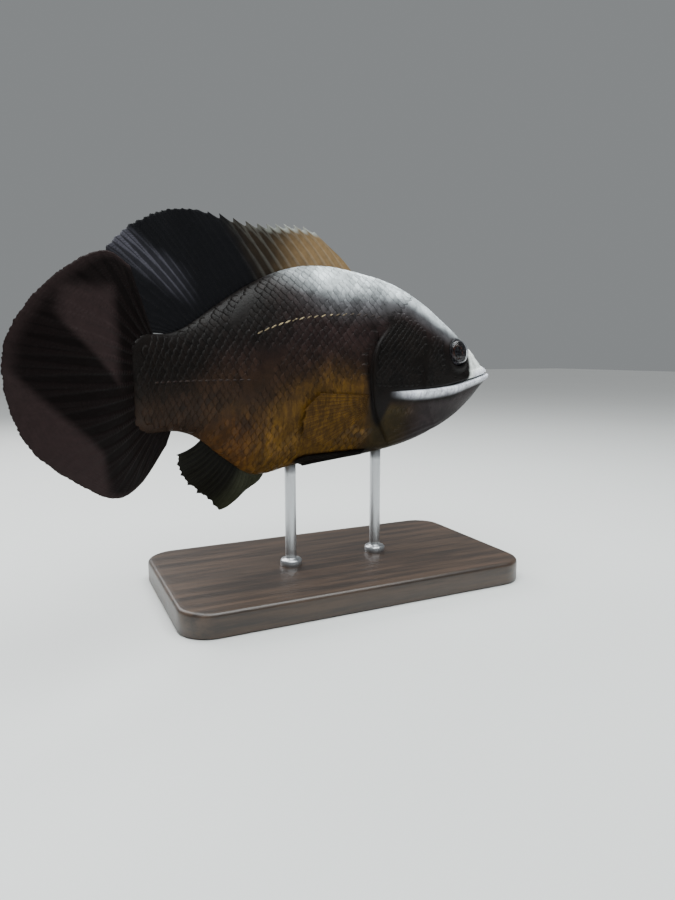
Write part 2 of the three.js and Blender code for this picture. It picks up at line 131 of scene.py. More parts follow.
def bend(s, side, up):
    """Points of the straight fish, put where they are on the stand, in metres."""
    x, y = axis_point(s)
    turn = np.radians(HEADING(s))
    along = [x - balance_x - side * np.sin(turn), y - balance_y + side * np.cos(turn), up + 0 * x]
    return np.stack(along, -1) * BODY_LENGTH + np.array([0, 0, AXIS_HEIGHT])


# The plain body, with a round cap ahead of the snout and a taper over the root of the tail fin
CAP = 0.012
TIP_UP = 0.004
TAPER = 0.07


def body(s, angle):
    """Side and up of the skin; angle 0 is the back and a quarter turn is the left side."""
    upward, outward = np.cos(angle), np.sin(angle)
    full = FULLNESS(s)
    waist = WAIST(s)
    reach = np.where(upward > 0, BACK(s) - waist, waist - BELLY(s))
    tip = np.sqrt(np.clip(1 + np.minimum(s, 0) / CAP, 0, 1))
    past = np.clip((s - 1) / TAPER, 0, 1) ** 2
    side = WIDTH(s) * np.sign(outward) * np.abs(outward) ** full * tip * np.sqrt(1 - past)
    up = waist + reach * np.sign(upward) * np.abs(upward) ** full * np.sqrt(1 - 0.5 * past)
    return side, TIP_UP + (up - TIP_UP) * tip


def angle_at(s, up):
    """The angle of the left skin at a height."""
    waist = WAIST(s)
    reach = np.where(up > waist, BACK(s) - waist, waist - BELLY(s))
    rise = np.clip((up - waist) / reach, -1, 1)
    return np.arccos(np.sign(rise) * np.abs(rise) ** (1 / FULLNESS(s)))


def side_at(s, up):
    """Half the body's width at a height."""
    return WIDTH(s) * np.sin(angle_at(s, up)) ** FULLNESS(s)


def lifted(s, angle, lift):
    """Points at a height in metres over the plain body, along its normal."""
    step = 1e-3
    along = bend(s + step, *body(s + step, angle)) - bend(s - step, *body(s - step, angle))
    around = bend(s, *body(s, angle + step)) - bend(s, *body(s, angle - step))
    normal = np.cross(around, along)
    normal /= np.maximum(np.linalg.norm(normal, axis=-1, keepdims=True), 1e-12)
    return bend(s, *body(s, angle)) + normal * lift[..., None]


# Features of the head, by place on the plain body
MOUTH = curve((0, 0.004), (0.05, -0.004), (0.1, -0.012), (0.17, -0.023), (0.25, -0.029), (0.34, -0.032))
LIP_BAND = curve((0, 0.018), (0.06, 0.02), (0.13, 0.023), (0.2, 0.025), (0.29, 0.025), (0.36, 0.016))
MOUTH_CORNER = 0.165
EYE = {"s": 0.14, "up": 0.058, "radius": 9 * MM, "out": -5.4 * MM}
EYE_RIM = 7.4 * MM
NOSTRIL = {"s": 0.06, "up": 0.057, "radius": 1.2 * MM}
# where the gill cover and the cheek plate end, by height
GILL_EDGE = curve(
    (-0.17, 0.33), (-0.14, 0.358), (-0.09, 0.39), (-0.03, 0.402), (0.03, 0.402), (0.08, 0.385), (0.12, 0.35),
)
CHEEK_EDGE = curve((-0.13, 0.2), (-0.09, 0.238), (-0.04, 0.256), (0.03, 0.25), (0.07, 0.235))
PORES = [
    (0.19, 0.105), (0.215, 0.07), (0.212, 0.03), (0.19, 0.005), (0.155, -0.003), (0.12, 0.008), (0.1, 0.03),
    (0.235, 0.012), (0.243, -0.02), (0.24, -0.075), (0.222, -0.098), (0.06, -0.06), (0.095, -0.075),
    (0.135, -0.088),
]

# Heights and depths on the skin, in millimetres
LIP_RISE = 1.5
UPPER_LIP_RISE = 0.9
MOUTH_DEPTH = 3.0
SOCKET_DEPTH = 5.5
SOCKET_RIM = 0.4
NOSTRIL_DEPTH = 1.3
NOSTRIL_RIM = 0.5
PLATE_RISE = 0.7
GILL_RISE = 0.7
GILL_DEPTH = 0.9
PORE_DEPTH = 0.5

SEED = 7
draw = np.random.default_rng(SEED)
WAVES = 14
wave_turns = draw.normal(0, 1, (WAVES, 3)) * draw.uniform(12, 55, (WAVES, 1))
wave_starts = draw.uniform(0, TAU, WAVES)


def swell(s, side, up):
    """Soft unevenness of flesh, about -1 to 1."""
    total = 0
    for turns, start in zip(wave_turns, wave_starts):
        total = total + np.sin(turns[0] * s + turns[1] * side + turns[2] * up + start)
    return total / math.sqrt(WAVES) / 1.5


def near(s, side, up, spot):
    """Distance on one side of the head from a spot on its skin, in body lengths."""
    across = np.abs(side) - side_at(spot["s"], spot["up"])
    return np.sqrt((s - spot["s"]) ** 2 + across ** 2 + (up - spot["up"]) ** 2)


def below_mouth(s, up):
    """0 at the top of the lower lip and the ridge behind it, 1 at their soft lower edge."""
    return (MOUTH(s) - 0.0012 - up) / LIP_BAND(s)


def mouth_relief(s, up):
    """Height in millimetres of the lips, the mouth's line and the folds round them, and the painted shade of
    the mouth's slit.
    """
    from_mouth = up - MOUTH(s)
    gape = smooth(MOUTH_CORNER + 0.03, MOUTH_CORNER - 0.01, s)
    ridge_end = smooth(0.365, 0.3, s)
    lower = np.clip(below_mouth(s, up), 0, 1)
    upper = np.clip(from_mouth / 0.022, 0, 1)
    height = (LIP_RISE - 0.3 * smooth(0.05, 0.2, s)) * ridge_end * np.sin(math.pi * lower ** 0.55)
    height += UPPER_LIP_RISE * np.sin(math.pi * upper ** 0.7) ** 0.9 * smooth(0.14, 0.09, s)
    wrinkles = np.sin(s * 900 + 4 * np.sin(s * 140)) * smooth(0.02, 0.06, s) * gape
    height += 0.06 * wrinkles * (np.sin(math.pi * lower) + np.sin(math.pi * upper) * smooth(0.12, 0.08, s))
    slit = bell(from_mouth / (0.0015 + 0.0007 * smooth(0.04, 0.12, s)))
    height -= slit * (MOUTH_DEPTH * gape + 0.9 * (1 - gape) * ridge_end)
    height -= 0.2 * bell((from_mouth - 0.025) / 0.005) * smooth(0.15, 0.1, s)
    return height, np.clip(slit * gape * 1.1, 0, 1)


def eye_relief(s, side, up):
    """The same for the eye's socket and its rim."""
    eye = near(s, side, up, EYE)
    height = SOCKET_RIM * bell((eye - EYE_RIM * 1.14) / (1.3 * MM))
    height -= SOCKET_DEPTH * smooth(EYE_RIM * 1.02, EYE_RIM * 0.72, eye)
    height -= 0.2 * bell((eye - EYE_RIM * 1.55) / (1.5 * MM))
    # the second share is painted shade in the socket round the eye
    return height, 0.7 * smooth(EYE_RIM * 1.12, EYE_RIM * 0.95, eye)


def nostril_relief(s, side, up):
    nostril = near(s, side, up, NOSTRIL)
    # the pit's share is painted shade in the nostril
    pit = bell(nostril / NOSTRIL["radius"])
    return NOSTRIL_RIM * bell((nostril - 1.7 * NOSTRIL["radius"]) / (0.7 * MM)) - NOSTRIL_DEPTH * pit, pit


def gill_relief(s, up):
    """The same for the cheek plate, the gill cover and the rays under the throat."""
    below = below_mouth(s, up)
    cheek = s - CHEEK_EDGE(up)
    off_lip = 1 - smooth(0, 0.3, np.clip(below, 0, 1)) * smooth(1.2, 0.9, below)
    cheek_span = smooth(-0.14, -0.11, up) * smooth(0.085, 0.05, up) * off_lip
    height = PLATE_RISE * cheek_span * np.where(cheek < 0, np.exp(cheek / 0.03), np.exp(-cheek / 0.004))
    gill = s - GILL_EDGE(up)
    behind = np.maximum(gill, 0)
    gill_span = smooth(-0.178, -0.14, up) * smooth(0.135, 0.06, up)
    edge = smooth(0.0022, -0.0022, gill)
    height += gill_span * edge * (0.25 + GILL_RISE * np.exp(np.minimum(gill, 0) / 0.035))
    height -= gill_span * (1 - edge) * GILL_DEPTH * np.exp(-behind / 0.009)
    fold = up + 0.075 + 0.5 * (s - 0.31) - 0.8 * (s - 0.31) ** 2
    height -= 0.2 * bell(fold / 0.004) * smooth(0.262, 0.28, s) * smooth(0.4, 0.385, s)
    throat = smooth(0.15, 0.2, s) * smooth(0.36, 0.32, s) * smooth(-0.1, -0.118, up)
    height += 0.16 * throat * np.sin((up + 0.3 * s) * 420)
    # the second share is painted shade in the gap behind the gill cover's edge
    return height, 0.8 * gill_span * smooth(-0.001, 0.003, gill) * np.exp(-behind / 0.007)


def relief(s, side, up):
    """Height of the skin over the plain body, in metres, and the painted shade of its creases and hollows
    from 0 to 1.
    """
    features = [mouth_relief(s, up), eye_relief(s, side, up), nostril_relief(s, side, up), gill_relief(s, up)]
    height = sum(rise for rise, _ in features)
    crease_shade = sum(dark for _, dark in features)
    for pore_s, pore_up in PORES:
        pore = near(s, side, up, {"s": pore_s, "up": pore_up})
        height += 0.16 * bell((pore - 0.8 * MM) / (0.4 * MM)) - PORE_DEPTH * bell(pore / (0.55 * MM))
    height += swell(s, side, up) * (0.22 - 0.12 * smooth(0.03, 0.1, s) * smooth(0.4, 0.3, s))
    return height * 0.001, np.clip(crease_shade, 0, 1)


# Meshes


def add_object(name, data):
    made = bpy.data.objects.new(name, data)
    bpy.context.scene.collection.objects.link(made)
    return made


def mesh(name, points, faces, attributes=None):
    """A mesh object with named attributes on its points: vectors where they have three columns."""
    data = bpy.data.meshes.new(name)
    data.from_pydata(points.reshape(-1, 3).tolist(), [], faces)
    for key, values in (attributes or {}).items():
        values = np.asarray(values, np.float32)
        kind, field = ("FLOAT_VECTOR", "vector") if values.ndim == 2 else ("FLOAT", "value")
        data.attributes.new(key, kind, "POINT").data.foreach_set(field, values.ravel())
    data.shade_smooth()
    data.update()
    return add_object(name, data)


def grid_faces(rows, columns, wrap=False):
    """Quads over a grid of points, its columns closed into a tube where they wrap."""
    gaps = columns if wrap else columns - 1
    row, column = np.meshgrid(np.arange(rows - 1), np.arange(gaps), indexing="ij")
    here = row * columns + column
    beside = row * columns + (column + 1) % columns
    return np.stack([here, beside, beside + columns, here + columns], -1).reshape(-1, 4)


def tube_faces(rows, columns):
    """A tube of rings, closed at its ends by fans to two points that follow the rings' own."""
    last = (rows - 1) * columns
    tip = rows * columns
    turns = [(column, (column + 1) % columns) for column in range(columns)]
    first_fan = [[after, here, tip] for here, after in turns]
    last_fan = [[last + here, last + after, tip + 1] for here, after in turns]
    return grid_faces(rows, columns, wrap=True).tolist() + first_fan + last_fan


def sheet_faces(rows, columns):
    """A closed sheet of two grids back to back, the second one's points after the first one's."""
    size = rows * columns
    front = grid_faces(rows, columns)
    index = np.arange(size).reshape(rows, columns)
    rim = np.concatenate([index[0, :-1], index[:-1, -1], index[-1, :0:-1], index[:0:-1, 0]])
    after = np.roll(rim, -1)
    wall = np.stack([rim, rim + size, after + size, after], -1)
    return np.concatenate([front, front[:, ::-1] + size, wall])


def stations(start, end, spacing):
    """Places from start to end, as far apart as spacing says at each."""
    places = [start]
    while places[-1] < end:
        places.append(places[-1] + float(spacing(places[-1])))
    return np.interp(places, [start, places[-1]], [start, end])


# Where the fish's colours lie: the lower edge of its pale nape, part painted highlight, and the tops of its
# other patches
PALE_HIGHLIGHT_EDGE = curve(
    (0.1, 0.084), (0.15, 0.096), (0.2, 0.117), (0.25, 0.148), (0.3, 0.173), (0.38, 0.179), (0.48, 0.178),
    (0.56, 0.19), (0.68, 0.19), (0.8, 0.15), (0.9, 0.11), (1, 0.1),
)
# top of the dark cheek, partly its own colour and partly painted shade
CHEEK_TOP = curve((0.09, 0.072), (0.17, 0.074), (0.2, 0.08), (0.25, 0.104), (0.3, 0.136), (0.38, 0.148))
OCHRE_TOP = curve(
    (0.38, -0.02), (0.44, 0.02), (0.52, 0.03), (0.6, 0.0), (0.66, -0.03), (0.72, -0.065), (0.8, -0.05),
    (0.9, -0.055),
)
# Their masks, in threes, as a mesh attribute holds three numbers
TONE_GROUPS = {
    "tones_body": ("pale_and_highlight", "ochre", "rust"),
    "tones_head": ("cheek", "jaw", "snout"),
    "tones_rest": ("grey", "throat", "keel_shade"),
    "tones_dark": ("shade", "band", "lip"),
}


def tones(s, up):
    """Soft masks of the colours, painted highlight and painted shade among them."""
    over = (up - PALE_HIGHLIGHT_EDGE(s)) / (0.034 + 0.02 * smooth(0.28, 0.4, s))
    under = OCHRE_TOP(s) - up
    behind = s - GILL_EDGE(up)
    above = up - MOUTH(s)
    below = below_mouth(s, up)
    low_edge = -0.06 - 0.055 * smooth(0.35, 0.39, s)
    front = s - 0.087 - 2.5 * (up - 0.028) ** 2 - 2.2 * np.maximum(0.012 - up, 0) ** 1.4
    # the black cheek: partly its own dark colour, partly painted shade of the head turned away from the light
    cheek = smooth(-0.006, 0.008, front) * smooth(0.016, -0.008, behind)
    cheek = cheek * smooth(0.028, -0.026, up - CHEEK_TOP(s))
    upper_lip = smooth(0.022, 0.012, above) * smooth(0, 0.001, above) * smooth(0.095, 0.06, s)
    # the lower lip's pale colour fades out over its lower side: partly its own soft edge, partly painted
    # shade under the ridge
    lower_lip = smooth(0.0, 0.07, below) * smooth(1.05, 0.35, below) * smooth(0.36, 0.28, s)
    masks = {
        # the pale nape and the grey fading below it: the back's own paler colour with a painted highlight of
        # the overhead light
        "pale_and_highlight": smooth(-0.15, 0.95, over) * smooth(0.68, 0.48, s),
        "grey": smooth(-1.2, 0.3, over) * smooth(0.64, 0.48, s),
        "ochre": smooth(-0.03, 0.08, under) * smooth(0.385, 0.44, s) * smooth(0.9, 0.76, s),
        "rust": smooth(0.66, 0.76, s) * smooth(-0.02, 0.04, under),
        "cheek": cheek * smooth(low_edge - 0.012, low_edge + 0.012, up),
        "jaw": smooth(0.35, 1.0, below) * smooth(0.33, 0.24, s),
        "snout": smooth(0.009, -0.006, front) * smooth(0.4, 0.0, below),
        "throat": smooth(0.27, 0.33, s) * smooth(0.43, 0.38, s) * smooth(-0.05, -0.08, up),
        # painted shade along the underside of the belly
        "keel_shade": smooth(0.032, 0.014, up - BELLY(s)) * smooth(0.34, 0.4, s) * smooth(0.61, 0.55, s),
        "shade": smooth(0.55, 0.7, s) * smooth(0.02, 0.12, up + 0.1 * smooth(0.75, 0.95, s)),
        # a band of painted shade just behind the gill cover's edge
        "band": bell((behind - 0.004) / 0.011) * smooth(-0.13, -0.1, up) * smooth(0.05, 0.0, up),
        "lip": np.maximum(lower_lip, 0.8 * upper_lip),
    }
    return {group: np.stack([masks[name] for name in names], -1) for group, names in TONE_GROUPS.items()}


# The skin: rings along the body, with columns that gather at the mouth
CAP_ROWS = 14
UPPER_COLUMNS = 88
LOWER_COLUMNS = 56
GATHER = 0.42  # spacing at the mouth's line against the mean
RING_SPACING = curve(
    (0, 0.0016), (0.03, 0.0023), (0.22, 0.0025), (0.37, 0.0021), (0.41, 0.0021), (0.46, 0.005), (1, 0.005),
)


def ring_angles(s):
    """Angles of one side's columns from back to belly at each s, one of them along the mouth."""
    line = angle_at(np.maximum(s, 0), MOUTH(s))[:, None]
    up = np.linspace(0, 1, UPPER_COLUMNS + 1)[None, :]
    down = np.linspace(0, 1, LOWER_COLUMNS + 1)[None, 1:]
    above = line * (1 - (GATHER * (1 - up) + (1 - GATHER) * (1 - up) ** 2))
    below = line + (math.pi - line) * (GATHER * down + (1 - GATHER) * down ** 2)
    return np.concatenate([above, below], 1)


def make_skin():
    cap = -CAP * (1 - np.linspace(0.04, 1, CAP_ROWS, endpoint=False) ** 2)
    s = np.concatenate([cap, stations(0, 1 + TAPER * 0.98, RING_SPACING)])
    half = ring_angles(s)
    angle = np.concatenate([half, TAU - half[:, -2:0:-1]], 1)
    rows, columns = angle.shape
    s = np.repeat(s[:, None], columns, 1)
    side, up = body(s, angle)
    height, crease_shade = relief(s, side, up)
    points = lifted(s, angle, height).reshape(-1, 3)
    points = np.concatenate([points, [points[:columns].mean(0), points[-columns:].mean(0)]])

    def with_ends(values):
        values = values.reshape(rows * columns, -1)
        both = np.concatenate([values, values[:1], values[-1:]])
        return both if both.shape[1] > 1 else both[:, 0]

    marks = {"place": np.stack([s, side, up], -1), "crease_shade": crease_shade, **tones(s, up)}
    marks = {key: with_ends(values) for key, values in marks.items()}
    return mesh("skin", points, tube_faces(rows, columns), marks)


# Scales, in rows along the body
SCALE_PITCH = 4.5 * MM
ROW_GAP = 2.55 * MM
SCALE_ACROSS = 6
SCALE_ALONG = 7
SCALE_HALF_WIDTH = 2.95 * MM
SCALE_LENGTH = 6.6 * MM
SCALE_RISE = 0.0002  # of a body scale's edge over the skin, in metres
SCALE_EDGE = 0.0001  # thickness of a scale at its free edge
SCALE_SINK = 0.0002  # depth of its underside in the skin
PATCH = 0.003  # side of each scale's patch on the map
CHEEK_RISE = 0.00007
CHEEK_HALF_WIDTH = 2.1 * MM
CHEEK_LENGTH = 4.4 * MM
CHEEK_PITCH = 3.3 * MM
CHEEK_GAP = 1.85 * MM
TABLE_S = np.linspace(0, 1 + TAPER, 400)
TABLE_ARC = np.linspace(-0.36, 0.36, 700)


def arc_table():
    """The angle on the left skin at each s and each distance up from the middle line."""
    angle = np.linspace(0, math.pi, 500)
    table = []
    for s in TABLE_S:
        side, up = body(s, angle)
        steps = np.hypot(np.diff(side), np.diff(up))
        arc = np.concatenate([[0], np.cumsum(steps)])
        arc = np.interp(math.pi / 2, angle, arc) - arc
        table.append(np.interp(TABLE_ARC, arc[::-1], angle[::-1], left=np.nan, right=np.nan))
    return np.array(table)


ARC_ANGLES = arc_table()


def angle_by_arc(s, arc):
    x = np.clip((s - TABLE_S[0]) / (TABLE_S[1] - TABLE_S[0]), 0, len(TABLE_S) - 1.001)
    y = np.clip((arc - TABLE_ARC[0]) / (TABLE_ARC[1] - TABLE_ARC[0]), 0, len(TABLE_ARC) - 1.001)
    i, j = x.astype(int), y.astype(int)
    u, v = x - i, y - j
    low = ARC_ANGLES[i, j] * (1 - v) + ARC_ANGLES[i, j + 1] * v
    high = ARC_ANGLES[i + 1, j] * (1 - v) + ARC_ANGLES[i + 1, j + 1] * v
    return low * (1 - u) + high * u


def scale_shape(u, v):
    """Shares along, across and up a scale, from its root (v = 0) to its rounded edge."""
    along = v * (1 - 0.36 * u * u * v)
    across = u * (0.72 + 0.28 * smooth(0, 0.5, v)) * (1 - 0.1 * v ** 4)
    height = (0.15 + 0.85 * v ** 1.3) * (1 - 0.4 * u * u)
    return along, across, height - 0.9 * smooth(0.25, 0, v) - 0.35 * smooth(0.8, 1, v)


def tube_shape(u, v):
    """The same over one raised tube of the lateral line."""
    hump = np.sin(math.pi * (0.04 + 0.92 * v))
    return v, u * hump ** 0.6, (1 - 0.8 * u * u) * hump ** 0.5


def add_bake_map(piece, roots, hand, u, v):
    """A small patch of the map for each scale, at its root's place on an unwrap of the skin."""
    across = 0.02 + 0.9 * roots[:, 0] / (1 + TAPER)
    upward = 0.5 + hand * (0.32 + roots[:, 1]) * 0.7
    patch = np.stack([(v - 0.5) * PATCH, u * PATCH / 2], -1).reshape(1, 1, -1, 2)
    patches = np.repeat(np.stack([across, upward], -1)[:, None, None] + patch, 2, 1).reshape(-1, 2)
    corners = np.empty(len(piece.data.loops), np.int32)
    piece.data.loops.foreach_get("vertex_index", corners)
    layer = piece.data.uv_layers.new(name="OFBake")
    layer.data.foreach_set("uv", patches[corners].astype(np.float32).ravel())


def scale_mesh(name, roots, hand, half_width, length, rise, shape=scale_shape, slant=0.0):
    """Overlapping scales as one mesh of closed shells. roots holds s and arc, one row a scale."""
    v, u = np.meshgrid(np.linspace(0, 1, SCALE_ALONG), np.linspace(-1, 1, SCALE_ACROSS), indexing="ij")
    along, across, height = shape(u, v)
    rise = np.broadcast_to(rise, len(roots))[:, None, None]
    growth = draw.uniform(0.93, 1.07, (len(roots), 1, 1))
    s = roots[:, 0, None, None] + (along - 0.35) * length * growth
    arc = roots[:, 1, None, None] + across * half_width * growth - (along - 0.5) * length * slant
    top = rise * (height + draw.normal(0, 0.03, (len(roots), 1, 1)))
    low = np.where((np.abs(u) > 0.99) | (v > 0.99), top - SCALE_EDGE, -SCALE_SINK)
    angle = angle_by_arc(s, arc)
    on_skin = ~np.isnan(angle).any((1, 2))
    roots, s, angle, top, low = (part[on_skin] for part in (roots, s, angle, top, low))
    side, up = body(s, angle)
    base, _ = relief(s, side, up)
    count, size = len(roots), v.size
    angle = angle if hand > 0 else TAU - angle
    sheets = [lifted(s, angle, base + lift).reshape(count, size, 3) for lift in (top, low)]
    quads = sheet_faces(SCALE_ALONG, SCALE_ACROSS)
    quads = quads[:, ::-1] if hand > 0 else quads
    faces = (quads[None] + (np.arange(count) * 2 * size)[:, None, None]).reshape(-1, 4)
    chance = draw.uniform(0, 1, (count, 1, 1))

    def on_both_sheets(values):
        return np.repeat(values.reshape(count, 1, size, 3), 2, 1).reshape(-1, 3)

    marks = {
        "place": np.stack([s, side * hand, up], -1),
        "scale": np.stack(np.broadcast_arrays(u, v, chance), -1),
        **tones(s, up),
    }
    marks = {key: on_both_sheets(values) for key, values in marks.items()}
    piece = mesh(name, np.stack(sheets, 1), faces.tolist(), marks)
    add_bake_map(piece, roots, hand, u, v)
    return piece


def lattice(pitch, gap, first, last):
    """Roots of scales on the left side, as s and arc, with their heights on the body."""
    row, column = np.meshgrid(np.arange(-80, 81), np.arange(int((last - first) / pitch) + 1), indexing="ij")
    roots = np.stack([first + (column + 0.5 * (row % 2)) * pitch, row * gap], -1).reshape(-1, 2)
    roots = roots + draw.normal(0, 0.035, roots.shape) * [pitch, gap * 2]
    angle = angle_by_arc(*roots.T)
    roots, angle = roots[~np.isnan(angle)], angle[~np.isnan(angle)]
    return roots, body(roots[:, 0], angle)[1]


def body_scales():
    """The scales behind the gill covers, in an upper and a lower coat a side."""
    roots, up = lattice(SCALE_PITCH, ROW_GAP, 0.26, 1.06)
    nape = 0.27 + 0.12 * smooth(0.2, 0.1, up)
    start = np.where(up > 0.11, nape, np.where(up > -0.15, GILL_EDGE(up) + 0.018, 0.37))
    end = 1.055 - 8 * np.minimum(np.abs(up), 0.1) ** 2
    keep = (roots[:, 0] > start) & ((roots[:, 0] < end) | (np.abs(up) > 0.1))
    rise = SCALE_RISE * (0.3 + 0.7 * smooth(0, 0.07, roots[:, 0] - start)) * smooth(1.1, 0.95, roots[:, 0])
    made = []
    for hand, word in SIDES:
        for part, half in (("upper", roots[:, 1] >= 0), ("lower", roots[:, 1] < 0)):
            name = f"scales_{part}_{word}"
            chosen = keep & half
            made.append(scale_mesh(name, roots[chosen], hand, SCALE_HALF_WIDTH, SCALE_LENGTH, rise[chosen]))
    return made


def cheek_scales():
    """Smaller, flatter scales on the cheeks and gill covers."""
    roots, up = lattice(CHEEK_PITCH, CHEEK_GAP, 0.16, 0.4)
    s = roots[:, 0]
    from_eye = np.hypot(s - EYE["s"], up - EYE["up"])
    inside = (s < GILL_EDGE(up) - 0.018) & (up < CHEEK_TOP(s) + 0.01) & (from_eye > 0.062)
    off_lip = (up > MOUTH(s) + 0.012) | ((up < -0.075) & (s > 0.285) & (up > -0.15))
    keep = inside & off_lip & (np.abs(s - CHEEK_EDGE(up)) > 0.012)
    made = []
    for hand, word in SIDES:
        name = f"cheek_scales_{word}"
        made.append(scale_mesh(name, roots[keep], hand, CHEEK_HALF_WIDTH, CHEEK_LENGTH, CHEEK_RISE))
    return made


# The lateral line's two runs
UPPER_LINE = curve(
    (0.3, 0.122), (0.33, 0.134), (0.362, 0.14), (0.431, 0.145), (0.512, 0.142), (0.592, 0.133),
    (0.66, 0.115), (0.72, 0.094),
)
LOWER_LINE = curve((0.68, 0.0), (0.8, 0.002), (1.02, 0.004))
TUBE_HALF_WIDTH = 0.42 * MM
TUBE_LENGTH = 3.2 * MM
TUBE_RISE = 0.00036


def arc_at(s, up):
    """Distance up the left skin from its middle line."""
    share = np.linspace(0, 1, 200)[:, None]
    angle = math.pi / 2 + (angle_at(s, up) - math.pi / 2) * share
    side, height = body(s, angle)
    return np.hypot(np.diff(side, axis=0), np.diff(height, axis=0)).sum(0) * np.sign(up - WAIST(s))


def lateral_line():
    """The raised, slanting tubes of the pored scales, in two runs a side."""
    made = []
    runs = {"upper": (UPPER_LINE, 0.375, 0.715, 0.5), "lower": (LOWER_LINE, 0.7, 1.01, 0.12)}
    for hand, word in SIDES:
        for run, (line, first, last, slant) in runs.items():
            s = np.arange(first, last, SCALE_PITCH * 0.93)
            roots = np.stack([s, arc_at(s, line(s))], -1)
            name = f"lateral_line_{run}_{word}"
            tube = (TUBE_HALF_WIDTH, TUBE_LENGTH, TUBE_RISE, tube_shape, slant)
            made.append(scale_mesh(name, roots, hand, *tube))
    return made


# Fins
GAP_COLUMNS = 12  # of a fin's mesh, from one ray to the next


def fin(name, rays, place, ray_width, thick, rows, notch, split=(0.42, 0.74), gap_columns=GAP_COLUMNS,
        membrane=0.4, fray=0.02, fine=0.0, on_flank=False):
    """A membrane on rays that branch twice, as one closed sheet.

    place(u, v) is its middle: u runs over the rays and v out along them. ray_width, a share of the gap
    between rays, and thick, in millimetres like membrane, are given at the root and the tip.
    """
    columns = (rays - 1) * gap_columns + 1
    u = np.linspace(0, 1, columns)
    ray = np.arange(columns) / gap_columns
    from_ray = ray - np.round(ray)
    v = np.linspace(0, 1, rows + 1)[:, None]
    between_rays = np.sin(math.pi * (ray - np.floor(ray)))
    uneven = np.interp(ray, np.arange(rays), draw.normal(0, fray, rays)) - draw.uniform(0, fine, columns)
    reach = (1 - notch * between_rays + uneven)[None, :]
    first_fork = smooth(split[0], 1, v) * 0.23
    second_fork = smooth(split[1], 1, v) * 0.1
    ridge = 0
    for one in (-1, 1):
        for two in (-1, 1):
            centre = one * first_fork + two * second_fork
            ridge = np.maximum(ridge, dome((from_ray[None, :] - centre) / np.interp(v, (0, 1), ray_width)))
    along = v * reach
    s, side, up = place(np.broadcast_to(u, along.shape), along)
    thickness = membrane + (np.interp(v, (0, 1), thick) - membrane) * ridge
    half = thickness / 2 * MM * (1 - 0.5 * smooth(0.97, 1, v))
    points = np.stack([bend(s, side + half, up), bend(s, side - half, up)])

    def on_both_sheets(*values):
        return np.tile(np.stack(np.broadcast_arrays(*values), -1).reshape(-1, len(values)), (2, 1))

    marks = {"place": on_both_sheets(s, side, up), "fin": on_both_sheets(u, v, ridge)}
    if on_flank:
        for group, masks in tones(s, up).items():
            marks[group] = on_both_sheets(*np.moveaxis(masks, -1, 0))
    return mesh(name, points, sheet_faces(rows + 1, columns).tolist(), marks)


MEDIAN_SINK = 0.014  # depth of the fins' roots in the back and belly


def median_place(root_at, edge, sign, lengths, leans, sway):
    """Where a fin on the back or belly is, its rays by root, length and lean from upright."""
    def place(u, v):
        root = root_at(u)
        length = lengths(root) + MEDIAN_SINK
        along = v * length - MEDIAN_SINK
        curl = np.radians(leans(root) + 10 * v)
        ripple = 0.0016 * np.sin(34 * u + 3 * v) * v * v
        side = sway(root) * length * v * v + ripple
        return root + along * np.sin(curl), side, edge(root) + sign * along * np.cos(curl)
    return place


SPINES = 13
SOFT_RAYS = 20


def dorsal_fin():
    """One fin: stiff spines with a notched edge, then soft rays."""
    rays = SPINES + SOFT_RAYS
    roots = np.concatenate([np.linspace(0.41, 0.69, SPINES), np.linspace(0.706, 0.945, SOFT_RAYS)])
    where = np.linspace(0, 1, rays)
    place = median_place(
        root_at=lambda u: np.interp(u, where, roots), edge=BACK, sign=1,
        lengths=curve(
            (0.41, 0.05), (0.433, 0.112), (0.457, 0.12), (0.55, 0.122), (0.6, 0.136), (0.643, 0.168),
            (0.7, 0.2), (0.76, 0.229), (0.81, 0.242), (0.857, 0.258), (0.885, 0.25), (0.915, 0.21),
            (0.945, 0.15),
        ),
        leans=curve((0.41, 34), (0.555, 35), (0.7, 36), (0.8, 41), (0.86, 54), (0.915, 77), (0.945, 86)),
        sway=lambda root: 0.14 * np.clip((root - 0.705) / 0.21, 0, 1),
    )
    change = (SPINES - 0.5) / rays
    over = np.linspace(0, 1, (rays - 1) * GAP_COLUMNS + 1)
    notch = 0.012 + 0.1 * smooth(change, change - 0.08, over)
    return fin(
        "dorsal_fin", rays, place, ray_width=(0.22, 0.1), thick=(0.95, 0.5), rows=64, fray=0.006, fine=0.006,
        notch=notch, split=(0.5, 0.8),
    )


def anal_fin():
    place = median_place(
        root_at=lambda u: 0.655 + 0.18 * u, edge=BELLY, sign=-1,
        lengths=curve(
            (0.655, 0.018), (0.677, 0.038), (0.695, 0.066), (0.713, 0.097), (0.731, 0.084), (0.765, 0.081),
            (0.8, 0.069), (0.835, 0.042),
        ),
        leans=curve((0.655, 8), (0.713, 6), (0.731, 17), (0.765, 26), (0.8, 37), (0.835, 38)),
        sway=lambda root: 0.3 + 0.4 * (root - 0.655) / 0.18,
    )
    return fin(
        "anal_fin", 19, place, ray_width=(0.24, 0.12), thick=(1.1, 0.5), rows=44, fine=0.012,
        notch=0.025,
    )


